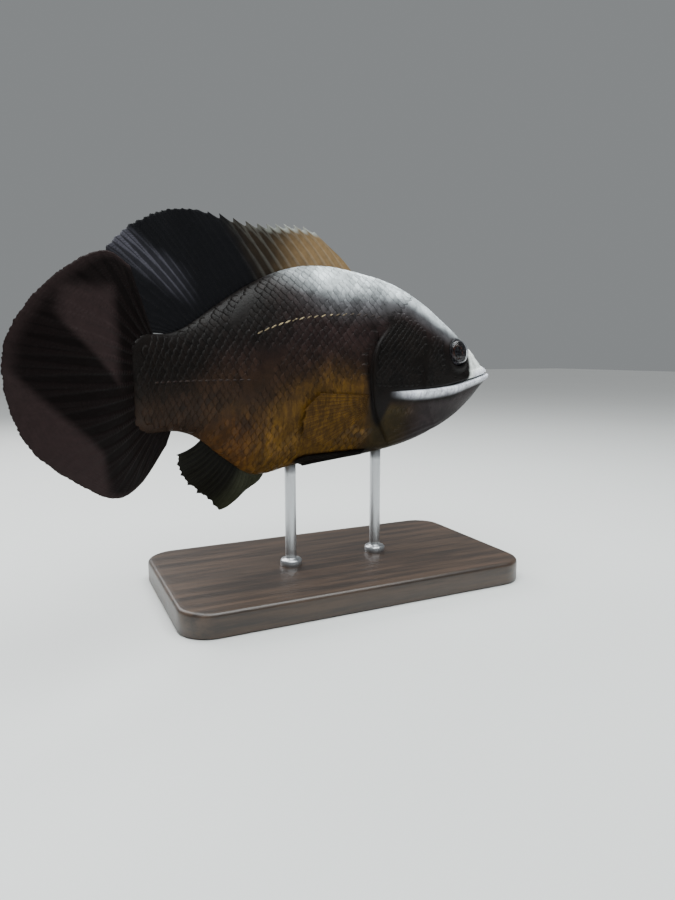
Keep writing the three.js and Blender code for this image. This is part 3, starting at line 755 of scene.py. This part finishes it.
# Roots and tips of the tail's rays, from the lowest (0) to the highest (1)
TAIL_ROOT_S = curve((0, 0.935), (0.1, 0.962), (0.22, 0.985), (1, 0.985))
TAIL_ROOT_UP = curve((0, -0.084), (0.22, -0.074), (0.6, 0.016), (1, 0.084))
TAIL_TIP_S = curve(
    (0, 0.95), (0.05, 1.0), (0.1, 1.055), (0.18, 1.135), (0.28, 1.202), (0.4, 1.268), (0.52, 1.3),
    (0.64, 1.302), (0.75, 1.27), (0.85, 1.212), (0.93, 1.14), (1, 1.062),
)
TAIL_TIP_UP = curve(
    (0, -0.119), (0.05, -0.149), (0.1, -0.173), (0.18, -0.185), (0.28, -0.152), (0.4, -0.094),
    (0.52, -0.022), (0.64, 0.056), (0.75, 0.124), (0.85, 0.183), (0.93, 0.219), (1, 0.205),
)


def tail_fin():
    def place(u, v):
        s = TAIL_ROOT_S(u) + (TAIL_TIP_S(u) - TAIL_ROOT_S(u)) * v
        up = TAIL_ROOT_UP(u) + (TAIL_TIP_UP(u) - TAIL_ROOT_UP(u)) * v
        return s, 0.0022 * np.sin(23 * u + 2 * v) * v * v, up
    return fin(
        "tail_fin", 19, place, ray_width=(0.24, 0.09), thick=(1.4, 0.45), rows=84, fray=0.0, fine=0.007,
        notch=0.004, split=(0.3, 0.62), gap_columns=16,
    )


def pectoral_fin(hand, word):
    """Laid back along the flank."""
    sink = 0.012
    lift = curve((0, -0.014), (0.14, 0.003), (0.3, 0.0065), (0.6, 0.009), (1, 0.013))

    def place(u, v):
        spread = 2 * u - 1
        tilt = np.radians(14 + 17 * spread)
        length = 0.2 * (0.72 + 0.28 * np.sin(math.pi * u))
        along = v * (length + sink) - sink
        s, up = 0.41 + along * np.cos(tilt), -0.06 - 0.02 * spread - along * np.sin(tilt)
        return s, hand * (side_at(s, up) + lift(v)), up
    return fin(
        f"pectoral_fin_{word}", 13, place, ray_width=(0.22, 0.1), thick=(1.1, 0.4), rows=40,
        notch=0.02, membrane=0.3, on_flank=True,
    )


def pelvic_fin(hand, word):
    """Folded back along the lower edge of the belly."""
    sink = 0.016
    lift = curve((0, -0.012), (0.12, 0.003), (0.4, 0.006), (1, 0.008))

    def place(u, v):
        tilt = np.radians(6 - 4.5 * u)
        length = 0.13 + 0.07 * np.sin(math.pi * (0.15 + 0.6 * u))
        along = v * (length + sink) - sink
        s = 0.395 + along * np.cos(tilt)
        up = -0.19 + 0.014 * u - along * np.sin(tilt)
        against = np.maximum(up, BELLY(s) + 0.004)
        return s, hand * (side_at(s, against) + lift(v)), up
    return fin(
        f"pelvic_fin_{word}", 6, place, ray_width=(0.26, 0.14), thick=(1.6, 0.5), rows=36,
        notch=0.02,
    )


# Eyes


def lathe(name, profile, spot, out, steps=64):
    """A closed shape turned about the line out of spot. profile holds radius and height, axis to axis."""
    turn = np.linspace(0, TAU, steps, endpoint=False)
    rings = np.array(profile[1:-1])
    radius, height = rings[:, :1], rings[:, 1:]
    local = np.stack([radius * np.cos(turn), radius * np.sin(turn), height + 0 * turn], -1).reshape(-1, 3)
    points = np.concatenate([local, [[0, 0, profile[0][1]], [0, 0, profile[-1][1]]]])
    aim = np.array(Vector(out).to_track_quat("Z", "Y").to_matrix())
    across, upward = points[:, 0], points[:, 1]
    marks = {"from_axis": np.hypot(across, upward), "turn": np.arctan2(upward, across)}
    return mesh(name, points @ aim.T + spot, tube_faces(len(rings), steps), marks)


def eye_spot(hand):
    """The middle of an eyeball and the way it looks."""
    side = hand * (side_at(EYE["s"], EYE["up"]) + EYE["out"])
    s, up = np.float64(EYE["s"]), np.float64(EYE["up"])
    spot = bend(s, side, up)
    angle = angle_at(s, up)
    skin_angle = angle if hand > 0 else TAU - angle
    near_skin, further = lifted(np.array([s, s]), np.array([skin_angle] * 2), np.array([0.0, 0.01]))
    sideways = bend(s, hand * 1.0, up) - bend(s, 0.0, up)
    out = (further - near_skin) / 0.01 * 0.45 + sideways / np.linalg.norm(sideways) * 0.55
    return spot, out / np.linalg.norm(out)


IRIS_RADIUS = 0.0068
PUPIL_RADIUS = 0.0031
# shares of their radii, with depths in metres
IRIS_PROFILE = ((0.97, 0.0002), (0.8, 0.0004), (0.6, 0.0003))
PUPIL_PROFILE = ((1, 0.0001), (0.93, 0.0006), (0.5, 0.0007), (0, 0.0007))


def eye(hand, word):
    """An eyeball with a sunk iris under a clear, bulging cornea."""
    spot, out = eye_spot(hand)
    radius = EYE["radius"] * BODY_LENGTH - 0.0002
    shoulder = math.asin(IRIS_RADIUS / radius)
    rim = radius * math.cos(shoulder)
    turns = np.linspace(math.pi - 0.12, shoulder, 26)
    ball = [(0, -radius)] + [(radius * math.sin(turn), radius * math.cos(turn)) for turn in turns]
    ball += [(IRIS_RADIUS * share, rim - depth) for share, depth in IRIS_PROFILE]
    ball += [(PUPIL_RADIUS * share, rim - depth) for share, depth in PUPIL_PROFILE]
    eyeball = lathe(f"eye_{word}", ball, spot, out)
    bulge = radius - rim + 0.0007
    outer, inner = [], []
    for turn in np.linspace(0, math.pi / 2, 16):
        outer.append((IRIS_RADIUS * 1.01 * math.sin(turn), rim + bulge * math.cos(turn)))
        inner.append((IRIS_RADIUS * 0.98 * math.sin(turn), rim - 0.00005 + (bulge - 0.0003) * math.cos(turn)))
    return eyeball, lathe(f"cornea_{word}", inner + outer[::-1], spot, out)


# The stand
BASE = {"length": 0.19, "width": 0.104, "height": 0.012, "corner": 0.016, "edge": 0.002}
ROD_RADIUS = 0.003
ROD_STATIONS = {"front": 0.34, "rear": 0.58}


def rounded_ring(inset, z, steps=14):
    x, y = BASE["length"] / 2 - BASE["corner"], BASE["width"] / 2 - BASE["corner"]
    radius = BASE["corner"] - inset
    ring = []
    for corner, (middle_x, middle_y) in enumerate(((x, y), (-x, y), (-x, -y), (x, -y))):
        for turn in np.linspace(corner * math.pi / 2, (corner + 1) * math.pi / 2, steps):
            ring.append((middle_x + radius * math.cos(turn), middle_y + radius * math.sin(turn), z))
    return ring


def stand_base():
    edge, height = BASE["edge"], BASE["height"]
    rings = [rounded_ring(0.4 * edge, 0.0), rounded_ring(0, 0.4 * edge)]
    for turn in np.linspace(0, math.pi / 2, 7):
        rings.append(rounded_ring(edge * (1 - math.cos(turn)), height - edge * (1 - math.sin(turn))))
    rings.append(rounded_ring(edge * 2, height))
    rows, columns = len(rings), len(rings[0])
    numbers = list(range(rows * columns))
    faces = grid_faces(rows, columns, wrap=True).tolist() + [numbers[:columns][::-1], numbers[-columns:]]
    return mesh("base", np.array(rings), faces)


def stand_rod(word):
    """A steel rod in a small collar on the base, its top just inside the belly."""
    s = np.float64(ROD_STATIONS[word])
    foot = bend(s, 0.0, 0.0)
    top = AXIS_HEIGHT + (BELLY(s) + 2.5 * MM) * BODY_LENGTH
    base = BASE["height"]
    profile = [(0, base - 0.002), (0.0054, base - 0.002), (0.0058, base + 0.0002), (0.0058, base + 0.0026)]
    profile += [(0.0052, base + 0.0034), (0.0036, base + 0.0036), (ROD_RADIUS, base + 0.0042)]
    profile += [(ROD_RADIUS, z) for z in np.linspace(base + 0.006, top - 0.0002, 8)]
    profile += [(ROD_RADIUS - 0.0003, top), (0, top)]
    return lathe(f"rod_{word}", profile, np.array([foot[0], foot[1], 0]), (0, 0, 1), steps=40)


# Looks


class Value:
    """A shader node's output, which can be added to, taken from and multiplied by others."""

    def __init__(self, look, socket):
        self.look = look
        self.socket = socket

    def __add__(self, other):
        return self.look.maths("ADD", self, other)

    def __sub__(self, other):
        return self.look.maths("SUBTRACT", self, other)

    def __rsub__(self, other):
        return self.look.maths("SUBTRACT", other, self)

    def __mul__(self, other):
        return self.look.maths("MULTIPLY", self, other)

    __radd__ = __add__
    __rmul__ = __mul__

    def sine(self):
        return self.look.maths("SINE", self, 0.0)

    def between(self, low, high, soft="SMOOTHSTEP"):
        """0 at low and 1 at high, either way round."""
        ends = {"From Min": min(low, high), "From Max": max(low, high)}
        results = {"To Min": float(low > high), "To Max": float(low < high)}
        inputs = {"Value": self, **ends, **results}
        return self.look.add("MapRange", inputs, interpolation_type=soft, clamp=True)


class Look:
    """A material in the making: each of its methods adds shader nodes and gives their output."""

    def __init__(self, name, **values):
        self.material = bpy.data.materials.new(name)
        self.material.use_nodes = True
        self.tree = self.material.node_tree
        self.finish(**values)

    def finish(self, **values):
        """Set the shader's own inputs, and give the material."""
        inputs = {key.replace("_", " "): value for key, value in values.items()}
        self.wire(self.tree.nodes["Principled BSDF"], inputs)
        return self.material

    def wire(self, node, inputs):
        """Give a node's inputs plain values or other nodes' outputs."""
        for key, value in inputs.items():
            if isinstance(value, Value):
                self.tree.links.new(value.socket, node.inputs[key])
            else:
                node.inputs[key].default_value = value

    def add(self, kind, inputs=None, output=0, **settings):
        node = self.tree.nodes.new("ShaderNode" + kind)
        for key, value in settings.items():
            setattr(node, key, value)
        self.wire(node, inputs or {})
        return Value(self, node.outputs[output])

    def maths(self, operation, one, two, clamp=False):
        return self.add("Math", {0: one, 1: two}, operation=operation, use_clamp=clamp)

    def attribute(self, name, output="Vector"):
        return self.add("Attribute", output=output, attribute_name=name)

    def split(self, vector):
        first = self.add("SeparateXYZ", {"Vector": vector})
        return [Value(self, output) for output in first.socket.node.outputs]

    def own_place(self, stretch=(1.0, 1.0, 1.0)):
        """The point in the piece's own frame."""
        place = self.add("TexCoord", output="Object")
        return self.add("Mapping", {"Vector": place, "Scale": stretch})

    def blend(self, factor, one, two, mode="MIX"):
        inputs = {0: factor, 6: one, 7: two}
        return self.add("Mix", inputs, output=2, data_type="RGBA", blend_type=mode)

    def scaled(self, tone, light):
        """A colour made lighter or darker."""
        grey = self.add("CombineColor", {0: light, 1: light, 2: light})
        return self.blend(1.0, tone, grey, "MULTIPLY")

    def noise(self, vector, size, detail=4.0, rough=0.55, twist=0.0):
        shape = {"Detail": detail, "Roughness": rough, "Distortion": twist}
        return self.add("TexNoise", {"Vector": vector, "Scale": size, **shape})

    def bump(self, height, distance, strength, under=None):
        inputs = {"Height": height, "Distance": distance, "Strength": strength}
        if under is not None:
            inputs["Normal"] = under
        return self.add("Bump", inputs)


def colour(r, g, b):
    """Linear light."""
    return (r, g, b, 1.0)


# the pale nape and the grey below it: own colour with a painted highlight on top
PALE_AND_HIGHLIGHT = colour(0.60, 0.65, 0.67)
GREY_AND_HIGHLIGHT = colour(0.080, 0.080, 0.086)
PLUM = colour(0.0150, 0.0082, 0.0078)
UMBER = colour(0.0210, 0.0105, 0.0055)
OCHRE = colour(0.105, 0.052, 0.0070)
RUST = colour(0.080, 0.032, 0.0055)
# near black: the cheek's own colour with painted shade, and the painted shade of the rear back and behind the
# gill covers
CHEEK_AND_SHADE = colour(0.0040, 0.0027, 0.0022)
LIP = colour(0.84, 0.86, 0.93)
LIP_SHADE = colour(0.42, 0.41, 0.50)
JAW = colour(0.024, 0.018, 0.019)
SNOUT = colour(0.80, 0.83, 0.80)
THROAT = colour(0.026, 0.0175, 0.0055)
# painted shade under the belly, also used on the pelvic fins' rays
KEEL_SHADE = colour(0.006, 0.0035, 0.0020)
# painted shade in creases and hollows: the mouth's slit, the eye's socket, the nostrils and the gap behind
# the gill covers
CREASE_SHADE = colour(0.003, 0.002, 0.002)
PORE_CREAM = colour(0.42, 0.33, 0.19)
WET = {"Specular_IOR_Level": 0.12, "Coat_Weight": 0.02, "Coat_Roughness": 0.25}


def ragged(mask, cloud):
    """A soft mask with a mottled edge, still empty at 0 and full at 1."""
    sway = (cloud - 0.5) * 2.0
    return mask.look.maths("ADD", mask, sway * (mask * (1.0 - mask)), clamp=True)


def markings(look):
    """The fish's colours by place, with its painted highlight and painted shade, the same for its skin and
    its scales.
    """
    place = look.attribute("place")
    cloud = look.noise(place, 13.0, 5.0, 0.6)
    fine = look.noise(place, 60.0, 4.0, 0.65)
    streaks = look.add("Mapping", {"Vector": place, "Scale": (110.0, 60.0, 38.0)})
    streak = look.noise(streaks, 1.0, 3.0, 0.6)
    masks = {}
    for group, names in TONE_GROUPS.items():
        for name, mask in zip(names, look.split(look.attribute(group))):
            edge = fine if name in ("cheek", "keel_shade", "jaw") else cloud
            masks[name] = mask if name == "lip" else ragged(mask, edge)
    height = look.split(place)[2]
    tone = look.blend(ragged(height.between(0.1, -0.02), cloud), PLUM, UMBER)
    golden = look.blend(masks["rust"], OCHRE, RUST)
    golden = look.blend(streak.between(0.38, 0.62), look.blend(0.55, golden, UMBER), golden)
    lip = look.blend(streak.between(0.45, 0.75), LIP, LIP_SHADE)
    # layers of colour: the pale nape carries a painted highlight, and the shade, band, keel and cheek layers
    # carry painted shade
    layers = [
        ("ochre", golden), ("grey", GREY_AND_HIGHLIGHT), ("pale_and_highlight", PALE_AND_HIGHLIGHT), ("shade", CHEEK_AND_SHADE), ("throat", THROAT),
        ("band", CHEEK_AND_SHADE), ("keel_shade", KEEL_SHADE), ("jaw", JAW), ("cheek", CHEEK_AND_SHADE), ("snout", SNOUT), ("lip", lip),
    ]
    masks["shade"] = masks["shade"] * 0.95
    for name, layer in layers:
        tone = look.blend(masks[name], tone, layer)
    blotch = look.noise(place, 26.0, 6.0, 0.7, 0.6).between(0.35, 0.68)
    return look.scaled(tone, 0.7 + blotch * 0.55), place


def skin_look():
    look = Look("fish_skin", **WET)
    tone, place = markings(look)
    grain = look.noise(place, 260.0, 3.0)
    pits = look.noise(place, 620.0, 2.0)
    underside = look.split(place)[2].between(-0.05, -0.12)
    return look.finish(
        # painted shade in the skin's creases and hollows
        Base_Color=look.blend(look.attribute("crease_shade", "Fac"), tone, CREASE_SHADE),
        Roughness=underside * 0.35 + (0.34 + grain * 0.16),
        Normal=look.bump(pits, 0.0002, 0.4, look.bump(grain, 0.0004, 0.45)),
    )


def scale_look():
    look = Look("fish_scales", **WET)
    tone, place = markings(look)
    along, chance = look.split(look.attribute("scale"))[1:]
    # each scale's own random tone, made darker at its root and its rim as painted shade where the scales
    # overlap
    light = (0.72 + chance * 0.6) * (0.7 + along.between(0.3, 0.62) * 0.38)
    light = light * (1.0 - along.between(0.86, 1.0) * 0.4)
    grain = look.noise(place, 300.0, 3.0)
    rings = (along * 60.0).sine()
    return look.finish(
        Base_Color=look.scaled(tone, light),
        Roughness=0.34 + grain * 0.14 + along.between(0.7, 0.95) * 0.3,
        Normal=look.bump(grain, 0.0004, 0.4, look.bump(rings, 0.00006, 0.4)),
    )


def line_look():
    look = Look("lateral_line", **WET)
    place = look.attribute("place")
    s, _, up = look.split(place)
    shown = s.between(0.41, 0.52) * up.between(0.05, 0.09)
    worn = look.noise(place, 90.0, 3.0).between(0.3, 0.62)
    tone = look.blend((0.02 + shown * 0.8) * worn, PLUM, PORE_CREAM)
    return look.finish(Base_Color=tone, Roughness=0.3 + worn * 0.1)


def fin_look(name, paint):
    """The looks of a fin. paint gives its colour, from the place, the share of the way over the rays,
    the share of the way out along them, and how near the crest of a ray is."""
    look = Look(name, Roughness=0.5, Specular_IOR_Level=0.08)
    place = look.attribute("place")
    over, along, ridge = look.split(look.attribute("fin"))
    tone = paint(look, {"place": place, "over": over, "along": along, "ridge": ridge})
    grain = look.noise(place, 90.0, 5.0)
    jointed = (along * 260.0).sine() * ridge
    return look.finish(
        Base_Color=look.scaled(tone, 0.72 + grain * 0.56),
        Normal=look.bump(jointed, 0.00008, 0.5, look.bump(grain, 0.0004, 0.5)),
    )


SLATE = colour(0.0045, 0.0045, 0.0056)
SLATE_RAY = colour(0.058, 0.056, 0.070)
SPINE_OCHRE = colour(0.215, 0.140, 0.070)
SPINE_BROWN = colour(0.020, 0.014, 0.009)
FRINGE = colour(0.32, 0.33, 0.30)
MAROON = colour(0.0020, 0.0007, 0.0006)
MAUVE = colour(0.0225, 0.0140, 0.0140)
SMOKE = colour(0.034, 0.035, 0.021)
SOOT = colour(0.0040, 0.0032, 0.0024)


def paint_dorsal(look, spot):
    """Ochre between the spines and slate between the soft rays, with a slanting band of paler rays."""
    along, ridge = spot["along"], spot["ridge"]
    cloudy = look.noise(spot["place"], 16.0)
    s, _, up = look.split(spot["place"])
    s = s + (cloudy - 0.5) * 0.06
    slant = up - s * 0.33
    band = slant.between(-0.145, -0.105) * slant.between(-0.05, -0.085) * s.between(0.82, 0.92)
    soft = look.blend((0.25 + ridge * 0.75) * band, SLATE, SLATE_RAY)
    spiny = look.blend(s.between(0.64, 0.5), SPINE_BROWN, SPINE_OCHRE)
    spiny = look.blend(ridge * 0.12, spiny, FRINGE)
    fringe = along.between(0.84, 0.97) * s.between(0.72, 0.55)
    spiny = look.blend(fringe * cloudy.between(0.35, 0.6), spiny, FRINGE)
    return look.blend((s - along * 0.09).between(0.68, 0.6), soft, spiny)


def paint_tail(look, spot):
    """Paler patches of painted light on the fin's folds, above and below a dark band that slants across the
    fin in their painted shade.
    """
    cloud = (look.noise(spot["place"], 14.0) - 0.5) * 0.03
    s, _, up = look.split(spot["place"])
    s = s + cloud
    up = up + cloud
    slant = up - s
    upper = slant.between(-1.12, -1.10) * s.between(1.235, 1.2) * up.between(0.175, 0.15)
    upper = upper * s.between(1.095, 1.13)
    lower = slant.between(-1.25, -1.275) * s.between(1.14, 1.165)
    # the maroon ground shows between the patches of painted light
    tone = look.blend(look.maths("MAXIMUM", upper, lower), MAROON, MAUVE)
    tone = look.blend(spot["ridge"] * 0.12, tone, MAUVE)
    return look.blend(spot["along"].between(0.9, 1.0) * 0.8, tone, MAUVE)


def paint_anal(look, spot):
    tone = look.blend(spot["over"].between(0.46, 0.3), SOOT, SMOKE)
    return look.blend(spot["ridge"] * 0.15, tone, SMOKE)


def paint_pectoral(look, spot):
    return look.blend(spot["ridge"] * 0.4, markings(look)[0], UMBER)


def paint_pelvic(look, spot):
    return look.blend(spot["ridge"] * 0.4, SOOT, KEEL_SHADE)


IRIS_SHADE = colour(0.004, 0.003, 0.004)
IRIS_BROWN = colour(0.010, 0.006, 0.006)
IRIS_AMBER = colour(0.050, 0.016, 0.007)
PUPIL_BLACK = colour(0.001, 0.001, 0.002)
EYE_EDGE = colour(0.004, 0.004, 0.007)


def eye_look():
    look = Look("eye_iris", Roughness=0.4, Specular_IOR_Level=0.2)
    radius = look.attribute("from_axis", "Fac")
    turn = look.attribute("turn", "Fac")
    spokes = look.noise(look.add("CombineXYZ", {"X": turn * 9.0, "Y": radius}), 3.0, 4.0)
    tone = look.blend(spokes, IRIS_SHADE, IRIS_BROWN)
    ring = radius.between(PUPIL_RADIUS * 1.42, PUPIL_RADIUS * 1.1)
    tone = look.blend(ring * 0.7, tone, IRIS_AMBER)
    pupil = radius.between(PUPIL_RADIUS * 1.02, PUPIL_RADIUS * 0.98, "LINEAR")
    tone = look.blend(pupil, tone, PUPIL_BLACK)
    tone = look.blend(radius.between(IRIS_RADIUS * 0.88, IRIS_RADIUS), tone, EYE_EDGE)
    return look.finish(Base_Color=tone, Normal=look.bump(spokes, 0.0003, 0.4))


def cornea_look():
    look = Look("eye_cornea", Roughness=0.02, IOR=1.22, Transmission_Weight=1.0)
    grain = look.noise(look.own_place(), 300.0, 2.0)
    return look.finish(Base_Color=colour(0.96, 0.97, 1.0), Normal=look.bump(grain, 0.00004, 0.2))


WOOD = colour(0.062, 0.036, 0.022)
WOOD_SHADE = colour(0.020, 0.012, 0.008)
WOOD_PORE = colour(0.010, 0.006, 0.005)
STEEL = colour(0.66, 0.67, 0.69)
STEEL_SHADE = colour(0.42, 0.43, 0.45)


def wood_look():
    look = Look("dark_wood", Roughness=0.4, Coat_Weight=0.25, Coat_Roughness=0.25)
    place = look.own_place((1.0, 14.0, 14.0))
    grain = look.noise(place, 14.0, 8.0, 0.65)
    pores = look.noise(place, 160.0, 3.0)
    tone = look.blend(grain.between(0.35, 0.65), WOOD_SHADE, WOOD)
    tone = look.blend(pores.between(0.6, 0.75) * 0.6, tone, WOOD_PORE)
    normal = look.bump(pores, 0.0002, 0.35)
    return look.finish(Base_Color=tone, Roughness=0.3 + grain * 0.25, Normal=normal)


def steel_look():
    look = Look("brushed_steel", Metallic=1.0, Roughness=0.3)
    brush = look.noise(look.own_place((900.0, 900.0, 8.0)), 1.0, 4.0)
    tone = look.blend(brush, STEEL_SHADE, STEEL)
    return look.finish(Base_Color=tone, Roughness=0.22 + brush * 0.2, Normal=look.bump(brush, 0.00005, 0.3))


# Putting it together


def finish_piece(piece, look, slot_name, *nodes):
    piece.data.materials.clear()
    piece.data.materials.append(look)
    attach(piece, "root")
    if nodes:
        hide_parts(*nodes)


def dress():
    flesh = ("head", "lower_jaw", "trunk", "tail", "gill_cover_left", "gill_cover_right")
    finish_piece(make_skin(), skin_look(), "flesh", *flesh)
    scales = scale_look()
    for coat in body_scales() + cheek_scales():
        finish_piece(coat, scales, "flesh")
    pored = line_look()
    for run in lateral_line():
        finish_piece(run, pored, "flesh")
    dorsal = fin_look("dorsal_membrane", paint_dorsal)
    finish_piece(dorsal_fin(), dorsal, "fins", "dorsal_fin_spines", "dorsal_fin_soft")
    finish_piece(anal_fin(), fin_look("anal_membrane", paint_anal), "fins", "anal_fin")
    finish_piece(tail_fin(), fin_look("tail_membrane", paint_tail), "fins", "caudal_fin")
    pectoral = fin_look("paired_membrane", paint_pectoral)
    pelvic = fin_look("pelvic_membrane", paint_pelvic)
    iris = eye_look()
    cornea = cornea_look()
    for hand, word in SIDES:
        finish_piece(pectoral_fin(hand, word), pectoral, "fins", f"pectoral_fin_{word}")
        finish_piece(pelvic_fin(hand, word), pelvic, "fins", f"pelvic_fin_{word}")
        eyeball, clear = eye(hand, word)
        finish_piece(eyeball, iris, "eyes", f"eye_{word}")
        finish_piece(clear, cornea, "eyes")
    finish_piece(stand_base(), wood_look(), "base", "stand_base")
    steel = steel_look()
    for word in ROD_STATIONS:
        finish_piece(stand_rod(word), steel, "rods", f"stand_rod_{word}")


# The studio
CAMERA_PLACE = Vector((-0.148671, -0.318826, 0.124285))
CAMERA_YAW = 25.394  # degrees from +Y towards +X
CAMERA_PITCH = -8.408
FOCAL_PIXELS = 650
FRAME_HEIGHT = 900  # pixels of the photograph
SENSOR_WIDTH = 36
FLOOR_REACH = 4.0
LAMPS = {
    "overhead": {"at": (0.0, -0.12, 0.8), "size": 0.9, "power": 16.0, "tint": (0.95, 1.0, 1.0)},
    "behind": {"at": (-0.3, 0.6, 0.6), "size": 0.6, "power": 5.0, "tint": (1.0, 1.0, 1.0)},
}
SKY_POWER = 0.8
SKY_SPREAD = math.radians(50)
WORLD_TINT = (0.80, 0.84, 0.86, 1)
WORLD_POWER = 0.3


def set_camera():
    camera = add_object("camera", bpy.data.cameras.new("camera"))
    camera.data.sensor_width = SENSOR_WIDTH
    camera.data.lens = SENSOR_WIDTH * FOCAL_PIXELS / FRAME_HEIGHT
    camera.data.clip_start = 0.01
    camera.location = CAMERA_PLACE
    camera.rotation_euler = (math.radians(90 + CAMERA_PITCH), 0, -math.radians(CAMERA_YAW))
    bpy.context.scene.camera = camera


def lay_floor():
    corners = np.array([[-1, -1, 0], [1, -1, 0], [1, 1, 0], [-1, 1, 0]]) * FLOOR_REACH
    floor = mesh("floor", corners, [[0, 1, 2, 3]])
    look = Look("pale_floor", Roughness=0.7)
    clouds = look.noise(look.own_place(), 3.0)
    tone = look.blend(clouds, colour(0.66, 0.67, 0.66), colour(0.70, 0.71, 0.70))
    floor.data.materials.append(look.finish(Base_Color=tone))


def light_studio():
    world = bpy.data.worlds.new("studio")
    world.use_nodes = True
    background = world.node_tree.nodes["Background"]
    background.inputs["Color"].default_value = WORLD_TINT
    background.inputs["Strength"].default_value = WORLD_POWER
    bpy.context.scene.world = world
    for name, lamp in LAMPS.items():
        light = bpy.data.lights.new(name, "AREA")
        light.size = lamp["size"]
        light.energy = lamp["power"]
        light.color = lamp["tint"]
        holder = add_object(name, light)
        holder.location = lamp["at"]
        aim = Vector((0, 0, AXIS_HEIGHT)) - holder.location
        holder.rotation_euler = aim.to_track_quat("-Z", "Y").to_euler()
    sky = bpy.data.lights.new("sky", "SUN")
    sky.energy = SKY_POWER
    sky.angle = SKY_SPREAD
    add_object("sky", sky)


set_camera()
lay_floor()
light_studio()
dress()
